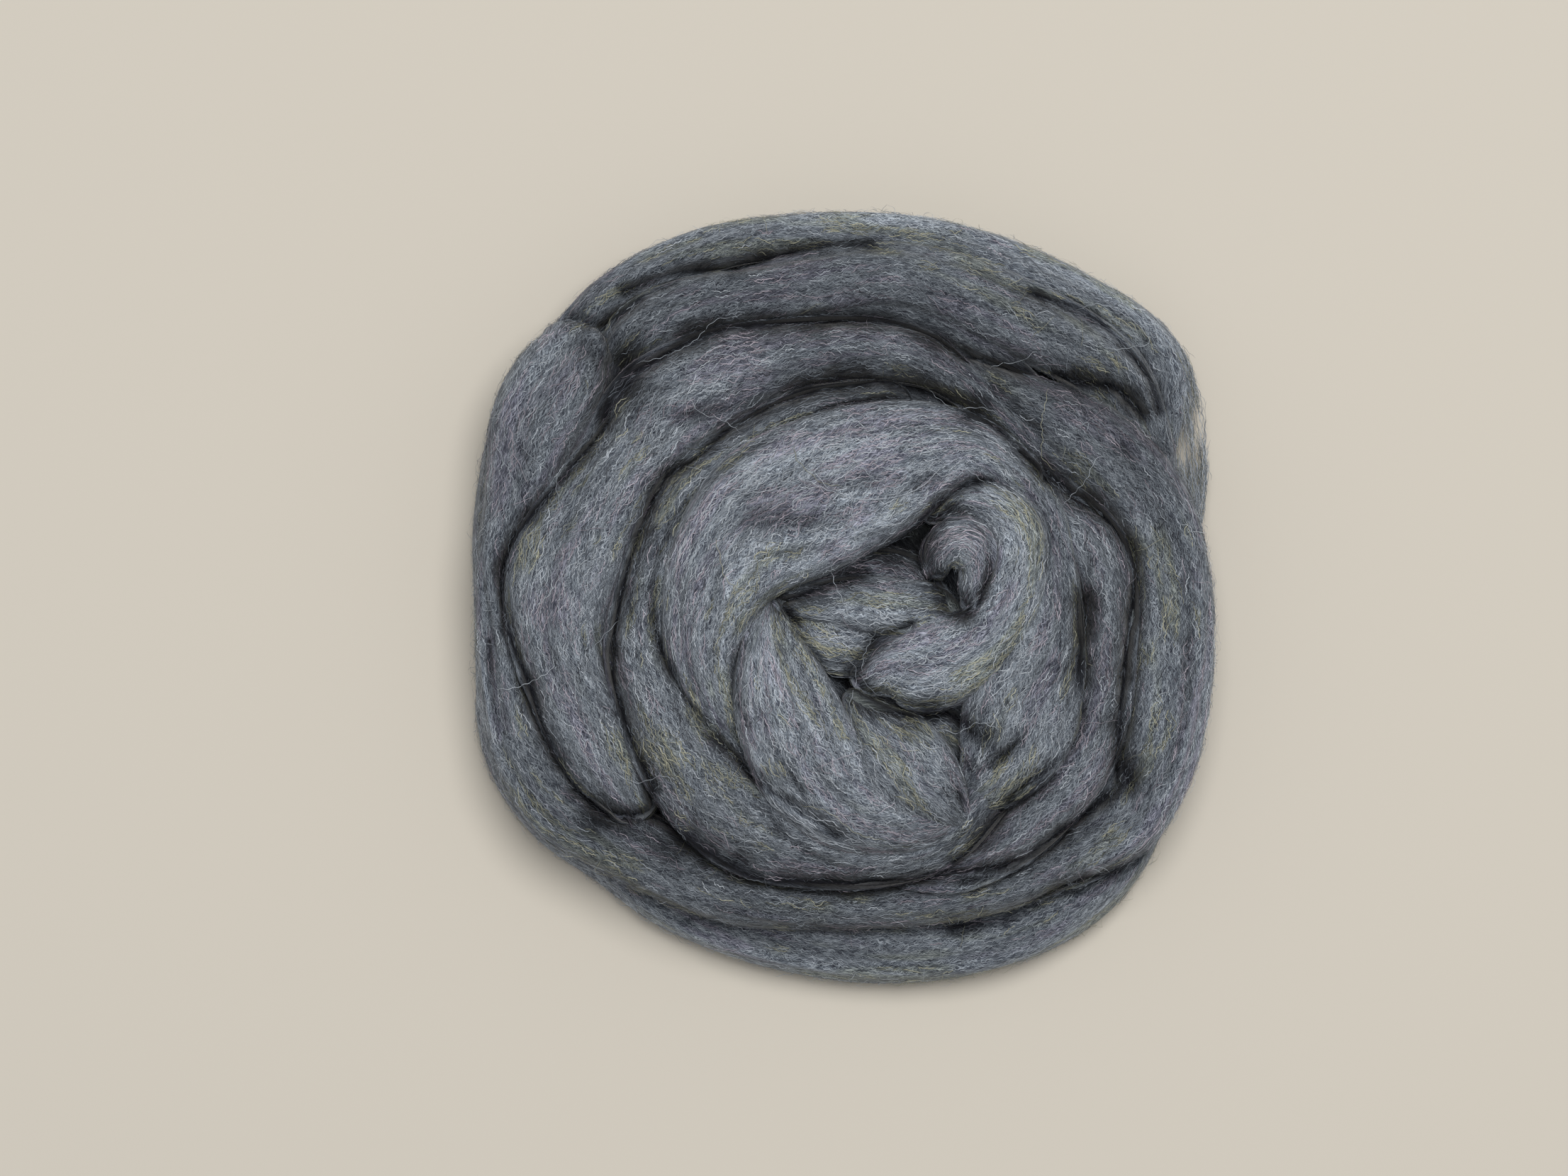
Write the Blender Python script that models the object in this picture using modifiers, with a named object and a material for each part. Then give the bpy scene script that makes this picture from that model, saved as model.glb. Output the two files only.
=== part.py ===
"""A nest of wool roving: one long soft rope of combed wool, wound by hand into a low round bump.

Units are metres, +Z is up, and the origin is in the middle of the flat underside.
The roving lies in turns. A flat spiral is at the bottom, wider turns are laid over its rim,
and the last metre is folded and tucked into the middle. Each turn is a loft of oval sections,
and all the turns are fused into one solid, because the roving is one length of wool.
"""

import math

import bmesh
import bpy
from mathutils import Matrix, Vector

MM = 0.001

NEST_RADIUS = 107.0  # mm, typical radius of the nest seen from above
DOME_LEAN = 0.35  # how far a wide section leans down towards the rim of the nest
SECTION_STEP = 3.0  # mm between the lofted sections of a turn
SECTION_SIDES = 24  # points round a section
END_ROUND = 4  # sections that round off each end of a turn

BASE_SPIRAL_PITCH = 17.0  # mm between neighbouring turns of the bottom spiral
BASE_WIDTH = 19.0
BASE_THICK = 21.0
BASE_MIDDLE_Z = 8.4
BASE_STEP_DEG = 12
BASE_START_RADIUS = 5.0
BASE_TURNS = 6.5

CORE_RADIUS = 87.0  # mm, the hidden turns that fill the nest, at the bottom
CORE_TOP_RADIUS = 84.0
CORE_BOTTOM = 7.0  # its lowest level: the bottom spiral's grooves show below it
CORE_TOP = 38.0
CORE_BEVEL = 17.0
CORE_SIDES = 48
CORE_BEVEL_STEPS = 3

FUSE_VOXEL = 1.8 * MM  # grid on which the turns are fused
SOFTEN_ROUNDS = 4  # smoothing passes over the fused skin
FACE_SHARE = 0.075  # share of the fused faces that is kept
FLOOR_CUTTER_SIDE = 400.0
FLOOR_CUTTER_DEPTH = 60.0

WOOL_COLOUR = (0.19, 0.215, 0.25, 1.0)
WOOL_ROUGHNESS = 0.95

# Angle from +X in degrees, and the distance of the outermost bottom turn's middle from the centre in mm.
BASE_OUTLINE = (
    (0, 96),
    (30, 104),
    (60, 102),
    (90, 98),
    (120, 104),
    (150, 104),
    (180, 98),
    (210, 104),
    (240, 99),
    (270, 100),
    (300, 106),
    (330, 102),
)

# Every turn above the bottom spiral, as sections along it.
# Columns: x, y, z of the section's middle, width across the turn, thickness; all in mm.
TURNS = {
    "outer_right": (
        (19, 76, 29, 8, 9),
        (32, 67, 31, 12, 13),
        (46, 58, 31, 17, 16),
        (62, 49, 31, 22, 18),
        (76, 38, 31, 24, 20),
        (87, 24, 30, 24, 21),
        (93, 6, 29, 23, 21),
        (95, -14, 28, 23, 21),
        (93, -34, 27, 22, 21),
        (88, -50, 26, 21, 20),
        (78, -63, 26, 20, 20),
        (64, -72, 25, 18, 19),
    ),
    "outer_bottom": (
        (78, -63, 25, 18, 18),
        (64, -72, 26, 18, 19),
        (48, -80, 25, 16, 18),
        (30, -85, 25, 15, 18),
        (10, -87, 25, 15, 18),
        (-10, -86, 25, 17, 18),
        (-30, -82, 26, 19, 19),
        (-48, -75, 26, 20, 20),
        (-65, -67, 26, 21, 20),
        (-79, -56, 26, 21, 20),
        (-89, -41, 26, 19, 20),
    ),
    "outer_left": (
        (-79, -56, 25, 18, 18),
        (-89, -41, 26, 19, 20),
        (-93, -24, 26, 16, 19),
        (-95, -5, 26, 15, 19),
        (-95, 11, 27, 17, 20),
        (-91, 29, 28, 22, 21),
        (-85, 47, 29, 28, 22),
        (-80, 61, 29, 30, 22),
        (-78, 71, 27, 24, 19),
    ),
    "top_outer": (
        (-79, 78, 17, 10, 10),
        (-67, 86, 19, 13, 13),
        (-52, 94, 20, 15, 15),
        (-32, 100, 20, 15, 16),
        (-10, 102, 20, 14, 16),
        (10, 102, 20, 14, 16),
        (30, 99, 20, 16, 17),
        (50, 92, 20, 17, 17),
        (70, 83, 19, 17, 17),
        (86, 72, 17, 16, 16),
        (97, 57, 14, 12, 14),
        (100, 40, 11, 9, 12),
    ),
    "top_inner": (
        (-64, 65, 24, 12, 12),
        (-56, 73, 26, 21, 17),
        (-44, 80, 27, 20, 17),
        (-26, 85, 27, 17, 17),
        (-8, 88, 27, 19, 18),
        (10, 90, 27, 20, 18),
        (28, 86, 27, 20, 18),
        (46, 78, 27, 19, 18),
        (64, 71, 26, 18, 17),
        (79, 63, 25, 17, 17),
        (91, 51, 22, 14, 15),
        (99, 35, 18, 10, 12),
    ),
    "middle_left": (
        (-59, -57, 30, 15, 13),
        (-67, -43, 32, 25, 17),
        (-76, -24, 33, 26, 19),
        (-80, -7, 33, 31, 20),
        (-78, 9, 33, 34, 20),
        (-72, 23, 33, 30, 20),
        (-62, 37, 34, 26, 20),
        (-50, 50, 34, 25, 20),
    ),
    "middle_top": (
        (-62, 38, 33, 28, 19),
        (-52, 52, 34, 32, 20),
        (-37, 61, 34, 30, 20),
        (-18, 67, 34, 24, 19),
        (2, 70, 34, 19, 18),
        (20, 68, 34, 17, 17),
        (31, 62, 34, 13, 15),
        (42, 53, 34, 11, 14),
        (54, 42, 34, 11, 13),
        (65, 34, 33, 11, 12),
        (74, 27, 30, 7, 8),
    ),
    "inner_left": (
        (12, 53, 36, 17, 16),
        (-8, 50, 37, 18, 16),
        (-26, 42, 37, 18, 16),
        (-41, 32, 37, 18, 16),
        (-50, 18, 37, 18, 16),
        (-55, 3, 37, 18, 16),
        (-57, -12, 37, 20, 17),
        (-53, -26, 38, 23, 18),
        (-46, -41, 38, 27, 18),
        (-36, -55, 37, 29, 18),
    ),
    "inner_bottom": (
        (-46, -41, 37, 25, 17),
        (-36, -55, 37, 29, 18),
        (-23, -65, 36, 29, 18),
        (-4, -71, 35, 22, 17),
        (14, -71, 35, 19, 16),
        (29, -66, 35, 18, 16),
        (41, -53, 35, 18, 16),
        (52, -43, 33, 16, 15),
    ),
    "inner_right": (
        (50, 38, 34, 12, 12),
        (62, 26, 35, 15, 14),
        (71, 15, 36, 17, 16),
        (75, 0, 36, 17, 17),
        (75, -15, 36, 17, 17),
        (73, -31, 36, 18, 17),
        (68, -46, 36, 18, 17),
        (58, -58, 35, 18, 16),
        (46, -68, 34, 16, 15),
        (32, -76, 33, 12, 13),
        (19, -78, 31, 8, 10),
    ),
    "crown_fan": (
        (-31, -41, 38, 8, 8),
        (-37, -28, 42, 17, 14),
        (-40, -15, 44, 21, 16),
        (-38, -3, 45, 28, 17),
        (-33, 9, 46, 35, 18),
        (-22, 21, 46, 43, 19),
        (-5, 30, 46, 44, 20),
        (10, 36, 45, 40, 20),
        (24, 41, 44, 29, 18),
        (38, 41, 43, 17, 15),
        (49, 33, 42, 15, 14),
    ),
    "crown_right": (
        (38, 41, 42, 15, 14),
        (49, 33, 42, 15, 14),
        (56, 22, 41, 15, 14),
        (59, 9, 41, 15, 14),
        (60, -5, 42, 15, 14),
        (56, -17, 43, 22, 16),
        (49, -28, 43, 31, 17),
        (44, -39, 42, 28, 16),
        (38, -49, 40, 18, 13),
        (33, -55, 37, 8, 8),
    ),
    "crown_fold": (
        (-20, -3, 46, 5, 6),
        (-20, -12, 48, 15, 13),
        (-18, -23, 49, 25, 17),
        (-14, -35, 48, 30, 18),
        (-8, -47, 46, 32, 18),
        (1, -57, 43, 28, 17),
        (13, -62, 41, 22, 16),
        (24, -63, 39, 16, 14),
        (32, -60, 36, 9, 9),
    ),
    "crown_tuck": (
        (3, -30, 45, 6, 7),
        (10, -36, 47, 13, 12),
        (18, -43, 47, 20, 15),
        (25, -51, 45, 20, 15),
        (30, -58, 42, 14, 12),
        (33, -63, 38, 7, 7),
    ),
    "curl": (
        (5, -23, 44, 10, 9),
        (12, -20, 45, 17, 14),
        (22, -19, 46, 24, 17),
        (32, -16, 46, 23, 17),
        (41, -10, 45, 19, 16),
        (47, -1, 45, 17, 16),
        (50, 9, 45, 16, 16),
        (49, 19, 45, 15, 15),
        (43, 26, 45, 13, 13),
        (34, 28, 43, 10, 11),
        (26, 24, 40, 6, 8),
    ),
    "curl_tip": (
        (23, 8, 43, 9, 9),
        (26, 14, 47, 13, 12),
        (33, 15, 48, 14, 12),
        (38, 9, 47, 13, 11),
        (37, 1, 45, 9, 9),
        (34, -5, 42, 5, 5),
    ),
    "heart_upper": (
        (-2, 4, 40, 10, 10),
        (10, 8, 41, 14, 12),
        (22, 6, 40, 12, 11),
        (28, 2, 37, 8, 8),
    ),
    "heart_middle": (
        (-16, -3, 41, 8, 8),
        (-4, -2, 43, 13, 12),
        (9, -3, 44, 14, 13),
        (21, -4, 43, 12, 12),
        (30, -5, 40, 8, 8),
    ),
    "heart_lower": (
        (-13, -8, 41, 8, 8),
        (-5, -14, 42, 16, 13),
        (5, -15, 42, 15, 12),
        (14, -12, 40, 10, 10),
    ),
    "heart_base": (
        (-2, -20, 33, 16, 14),
        (8, -26, 36, 20, 14),
        (20, -31, 37, 20, 14),
        (31, -36, 36, 16, 13),
        (36, -42, 34, 10, 10),
    ),
}


def clear_scene():
    for obj in list(bpy.data.objects):
        bpy.data.objects.remove(obj)


def wool_material():
    material = bpy.data.materials.new("combed_wool")
    material.use_nodes = True
    shader = material.node_tree.nodes["Principled BSDF"]
    shader.inputs["Base Color"].default_value = WOOL_COLOUR
    shader.inputs["Roughness"].default_value = WOOL_ROUGHNESS
    shader.inputs["Metallic"].default_value = 0.0
    return material


def smooth_value(before, start, end, after, t):
    """Catmull-Rom value between start (t 0) and end (t 1)."""
    slope_in = (end - before) / 2
    slope_out = (after - start) / 2
    t2, t3 = t * t, t * t * t
    return (
        (2 * t3 - 3 * t2 + 1) * start
        + (t3 - 2 * t2 + t) * slope_in
        + (3 * t2 - 2 * t3) * end
        + (t3 - t2) * slope_out
    )


def smooth_rows(rows):
    """The rows of a turn, joined by smooth curves and sampled about every SECTION_STEP."""
    sampled = []
    last = len(rows) - 1
    for i in range(last):
        before, start, end = rows[max(i - 1, 0)], rows[i], rows[i + 1]
        after = rows[min(i + 2, last)]
        steps = max(1, round(math.dist(start[:3], end[:3]) / SECTION_STEP))
        for step in range(steps):
            t = step / steps
            sampled.append([smooth_value(*values, t) for values in zip(before, start, end, after)])
    sampled.append(list(rows[last]))
    return sampled


def outline_radius(degrees):
    """The bottom turn's distance from the centre at an angle, smooth between BASE_OUTLINE's rows."""
    step = 360 / len(BASE_OUTLINE)
    place = (degrees % 360) / step
    i = int(place)
    radii = [BASE_OUTLINE[(i + k) % len(BASE_OUTLINE)][1] for k in (-1, 0, 1, 2)]
    return smooth_value(*radii, place - i)


def bottom_spiral():
    """Rows of the flat spiral that the nest stands on, from the rim to the centre."""
    rows = []
    degrees = 0.0
    while degrees <= BASE_TURNS * 360:
        inward = BASE_SPIRAL_PITCH * max(0.0, degrees - 360) / 360
        radius = max(BASE_START_RADIUS, outline_radius(degrees) - inward)
        angle = math.radians(degrees)
        x, y = radius * math.cos(angle), radius * math.sin(angle)
        rows.append((x, y, BASE_MIDDLE_Z, BASE_WIDTH, BASE_THICK))
        degrees += BASE_STEP_DEG
    return rows


def section_matrix(middle, along, width, thick):
    """Places a unit circle as a turn's oval section: X across the turn, Y through its thickness."""
    across = Vector((0, 0, 1)).cross(along).normalized()
    outward = Vector((middle.x, middle.y, 0)) / (NEST_RADIUS * MM)
    across = (across - Vector((0, 0, DOME_LEAN * across.dot(outward)))).normalized()
    through = along.cross(across).normalized()
    turn = Matrix((across, through, along)).transposed().to_4x4()
    size = Matrix.Diagonal((width / 2, thick / 2, 1, 1))
    return Matrix.Translation(middle) @ turn @ size


def add_ring(bm, matrix):
    made = bmesh.ops.create_circle(bm, segments=SECTION_SIDES, radius=1.0, matrix=matrix)
    corners = made["verts"]
    edges = {edge for corner in corners for edge in corner.link_edges}
    return corners, list(edges)


def rounded_end(middle, along, row, side):
    """Ever smaller sections past the first (side -1) or last (side 1) one, which round a turn's end off."""
    sections = []
    for k in range(1, END_ROUND + 1):
        bend = math.radians(90 * k / (END_ROUND + 0.5))
        reach = side * row[4] / 2 * math.sin(bend)
        shrink = math.cos(bend)
        sections.append((middle + along * reach, along, row[3] * shrink, row[4] * shrink))
    return sections


def turn_mesh(rows):
    """One turn as a closed mesh: a ring for each section, bridged to the next, with rounded ends."""
    rows = smooth_rows(rows)
    points = [Vector(row[:3]) for row in rows]
    last = len(points) - 1
    tangents = [(points[min(i + 1, last)] - points[max(i - 1, 0)]).normalized() for i in range(last + 1)]
    sections = [(point, along, row[3], row[4]) for point, along, row in zip(points, tangents, rows)]
    start = rounded_end(points[0], tangents[0], rows[0], -1)
    end = rounded_end(points[last], tangents[last], rows[last], 1)

    bm = bmesh.new()
    rings = []
    for middle, along, width, thick in [*reversed(start), *sections, *end]:
        matrix = section_matrix(middle * MM, along, width * MM, thick * MM)
        rings.append(add_ring(bm, matrix))
    for (_, first), (_, second) in zip(rings, rings[1:]):
        bmesh.ops.bridge_loops(bm, edges=first + second)
    for corners, _ in (rings[0], rings[-1]):
        bmesh.ops.contextual_create(bm, geom=corners)
    bmesh.ops.recalc_face_normals(bm, faces=bm.faces)
    mesh = bpy.data.meshes.new("turn")
    bm.to_mesh(mesh)
    bm.free()
    return mesh


def add_core(bm):
    """The buried turns in the middle, as a low mound under the laid ones."""
    middle_z = (CORE_TOP + CORE_BOTTOM) / 2
    bmesh.ops.create_cone(
        bm,
        cap_ends=True,
        segments=CORE_SIDES,
        radius1=CORE_RADIUS * MM,
        radius2=CORE_TOP_RADIUS * MM,
        depth=(CORE_TOP - CORE_BOTTOM) * MM,
        matrix=Matrix.Translation((0, 0, middle_z * MM)),
    )
    top_rim = [edge for edge in bm.edges if all(corner.co.z > middle_z * MM for corner in edge.verts)]
    bmesh.ops.bevel(
        bm,
        geom=top_rim,
        affect="EDGES",
        offset=CORE_BEVEL * MM,
        segments=CORE_BEVEL_STEPS,
        profile=0.5,
        material=-1,
    )


def floor_cutter(collection):
    """A block under the nest, which gives it the flat underside it lies on."""
    bpy.ops.mesh.primitive_cube_add(size=1.0)
    cutter = bpy.context.object
    cutter.name = "floor_cutter"
    cutter.scale = [FLOOR_CUTTER_SIDE * MM, FLOOR_CUTTER_SIDE * MM, FLOOR_CUTTER_DEPTH * MM]
    cutter.location.z = -FLOOR_CUTTER_DEPTH * MM / 2
    cutter.hide_render = True
    cutter.display_type = "WIRE"
    for home in list(cutter.users_collection):
        home.objects.unlink(cutter)
    collection.objects.link(cutter)
    return cutter


def shell_of(start):
    """The faces joined to the start face by shared edges."""
    found = {start}
    waiting = [start]
    while waiting:
        face = waiting.pop()
        for edge in face.edges:
            fresh = [neighbour for neighbour in edge.link_faces if neighbour not in found]
            found.update(fresh)
            waiting.extend(fresh)
    return found


def fill_pockets(bm):
    """Keeps the outer shell and drops the small ones inside it, so no sealed pocket is left."""
    waiting = set(bm.faces)
    shells = []
    while waiting:
        shell = shell_of(next(iter(waiting)))
        waiting -= shell
        shells.append(shell)
    shells.sort(key=len)
    inner = [face for shell in shells[:-1] for face in shell]
    bmesh.ops.delete(bm, geom=inner, context="FACES")


def fused_mesh(loose):
    """The turns in the loose mesh fused into one skin on the FUSE_VOXEL grid."""
    holder = bpy.data.objects.new("loose_turns", loose)
    bpy.context.scene.collection.objects.link(holder)
    fuse = holder.modifiers.new("fuse_turns", "REMESH")
    fuse.mode = "VOXEL"
    fuse.voxel_size = FUSE_VOXEL
    soften = holder.modifiers.new("soften", "SMOOTH")
    soften.factor = 0.5
    soften.iterations = SOFTEN_ROUNDS
    evaluated = holder.evaluated_get(bpy.context.evaluated_depsgraph_get())
    fused = bpy.data.meshes.new_from_object(evaluated)
    bpy.data.objects.remove(holder)
    bm = bmesh.new()
    bm.from_mesh(fused)
    fill_pockets(bm)
    bm.to_mesh(fused)
    bm.free()
    fused.name = "roving_nest"
    return fused


def wound_nest(collection, cutter):
    """All the turns as one solid, flat where it lies on the floor."""
    bm = bmesh.new()
    add_core(bm)
    for rows in (bottom_spiral(), *TURNS.values()):
        bm.from_mesh(turn_mesh(rows))
    loose = bpy.data.meshes.new("loose_turns")
    bm.to_mesh(loose)
    bm.free()

    nest = bpy.data.objects.new("roving_nest", fused_mesh(loose))
    collection.objects.link(nest)
    nest.data.materials.append(wool_material())
    fewer = nest.modifiers.new("fewer_faces", "DECIMATE")
    fewer.ratio = FACE_SHARE
    flat = nest.modifiers.new("flat_underside", "BOOLEAN")
    flat.operation = "DIFFERENCE"
    flat.solver = "EXACT"
    flat.object = cutter


def new_collection(name):
    collection = bpy.data.collections.new(name)
    bpy.context.scene.collection.children.link(collection)
    return collection


def main():
    clear_scene()
    parts = new_collection("wool_roving")
    cutters = new_collection("cutters")
    wound_nest(parts, floor_cutter(cutters))


main()
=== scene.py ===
import math

import bmesh
import bpy
import numpy as np
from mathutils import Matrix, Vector
from mathutils.bvhtree import BVHTree


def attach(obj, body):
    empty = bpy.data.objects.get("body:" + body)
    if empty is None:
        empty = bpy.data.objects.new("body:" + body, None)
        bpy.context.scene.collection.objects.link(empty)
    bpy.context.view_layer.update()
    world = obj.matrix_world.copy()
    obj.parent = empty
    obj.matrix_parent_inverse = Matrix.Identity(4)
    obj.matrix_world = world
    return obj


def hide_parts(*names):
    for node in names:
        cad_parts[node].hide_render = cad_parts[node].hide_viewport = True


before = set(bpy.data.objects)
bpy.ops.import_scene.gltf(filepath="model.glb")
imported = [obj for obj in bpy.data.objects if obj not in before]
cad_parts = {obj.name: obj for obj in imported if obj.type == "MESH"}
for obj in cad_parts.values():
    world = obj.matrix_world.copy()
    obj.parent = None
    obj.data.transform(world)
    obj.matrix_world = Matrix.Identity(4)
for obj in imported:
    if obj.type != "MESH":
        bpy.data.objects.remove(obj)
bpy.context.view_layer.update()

mm = 0.001

# The stage comes first: camera, floor and light.
stage = {
    "cameraHeight": 2.4,  # m above the floor: a long lens keeps the turns' places true
    "sharpHeight": 0.03,  # m, the level at which the frame is frameWidth wide
    "frameWidth": 0.4424,  # m of floor across the frame
    "sensor": 36.0,  # mm
    "aimX": -0.0164,  # m, the middle of the frame from the middle of the nest
    "aimY": 0.0027,
    "farthest": 20.0,  # m that the camera sees
    "floorSize": 3.0,
    "floor": "#dbd5ca",
    "keyPlace": (0.3, 0.77, 3.0),  # high and towards +Y: soft shade below and to the lower left
    "keyAim": (0, 0, 0.03),
    "keySize": 1.8,
    "keyPower": 64.5,
    "keyColour": (1.0, 0.985, 0.96),
    "world": 0.31,
    "worldColour": (1.0, 0.99, 0.97, 1.0),
}


def linear(code):
    # sRGB hex to linear RGBA
    values = [int(code[k : k + 2], 16) / 255 for k in (1, 3, 5)]
    return [v / 12.92 if v <= 0.04045 else ((v + 0.055) / 1.055) ** 2.4 for v in values] + [1.0]


def setInputs(tree, node, inputs):
    # each input gets a value or a link from another node's socket
    for name, value in inputs.items():
        if isinstance(value, bpy.types.NodeSocket):
            tree.links.new(value, node.inputs[name])
        else:
            node.inputs[name].default_value = value


def addNode(tree, kind, inputs=None, **settings):
    node = tree.nodes.new(kind)
    for name, value in settings.items():
        setattr(node, name, value)
    setInputs(tree, node, inputs or {})
    return node


def newMaterial(name, look):
    # a material whose shader starts with the inputs in look
    material = bpy.data.materials.new(name)
    material.use_nodes = True
    tree = material.node_tree
    shader = tree.nodes["Principled BSDF"]
    setInputs(tree, shader, look)
    return material, tree, shader


def addObject(name, data, place=(0, 0, 0)):
    thing = bpy.data.objects.new(name, data)
    thing.location = place
    bpy.context.scene.collection.objects.link(thing)
    return thing


def makeStage():
    camera = bpy.data.cameras.new("camera")
    camera.sensor_width = stage["sensor"]
    distance = stage["cameraHeight"] - stage["sharpHeight"]
    camera.lens = stage["sensor"] * distance / stage["frameWidth"]
    camera.clip_end = stage["farthest"]
    place = (stage["aimX"], stage["aimY"], stage["cameraHeight"])
    bpy.context.scene.camera = addObject("camera", camera, place)

    bpy.ops.mesh.primitive_plane_add(size=stage["floorSize"])
    floor = bpy.context.object
    floor.name = "floor"
    paper, _, _ = newMaterial("palePaper", {"Base Color": linear(stage["floor"]), "Roughness": 0.9})
    floor.data.materials.append(paper)

    key = bpy.data.lights.new("softWindow", "AREA")
    key.shape = "DISK"
    key.size = stage["keySize"]
    key.energy = stage["keyPower"]
    key.color = stage["keyColour"]
    aim = Vector(stage["keyAim"]) - Vector(stage["keyPlace"])
    window = addObject("softWindow", key, stage["keyPlace"])
    window.rotation_euler = aim.to_track_quat("-Z", "Y").to_euler()

    world = bpy.data.worlds.new("softRoom")
    bpy.context.scene.world = world
    world.use_nodes = True
    background = world.node_tree.nodes["Background"]
    background.inputs["Color"].default_value = stage["worldColour"]
    background.inputs["Strength"].default_value = stage["world"]
    bpy.context.scene.view_settings.view_transform = "Standard"


makeStage()
print("stage ready")

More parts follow.
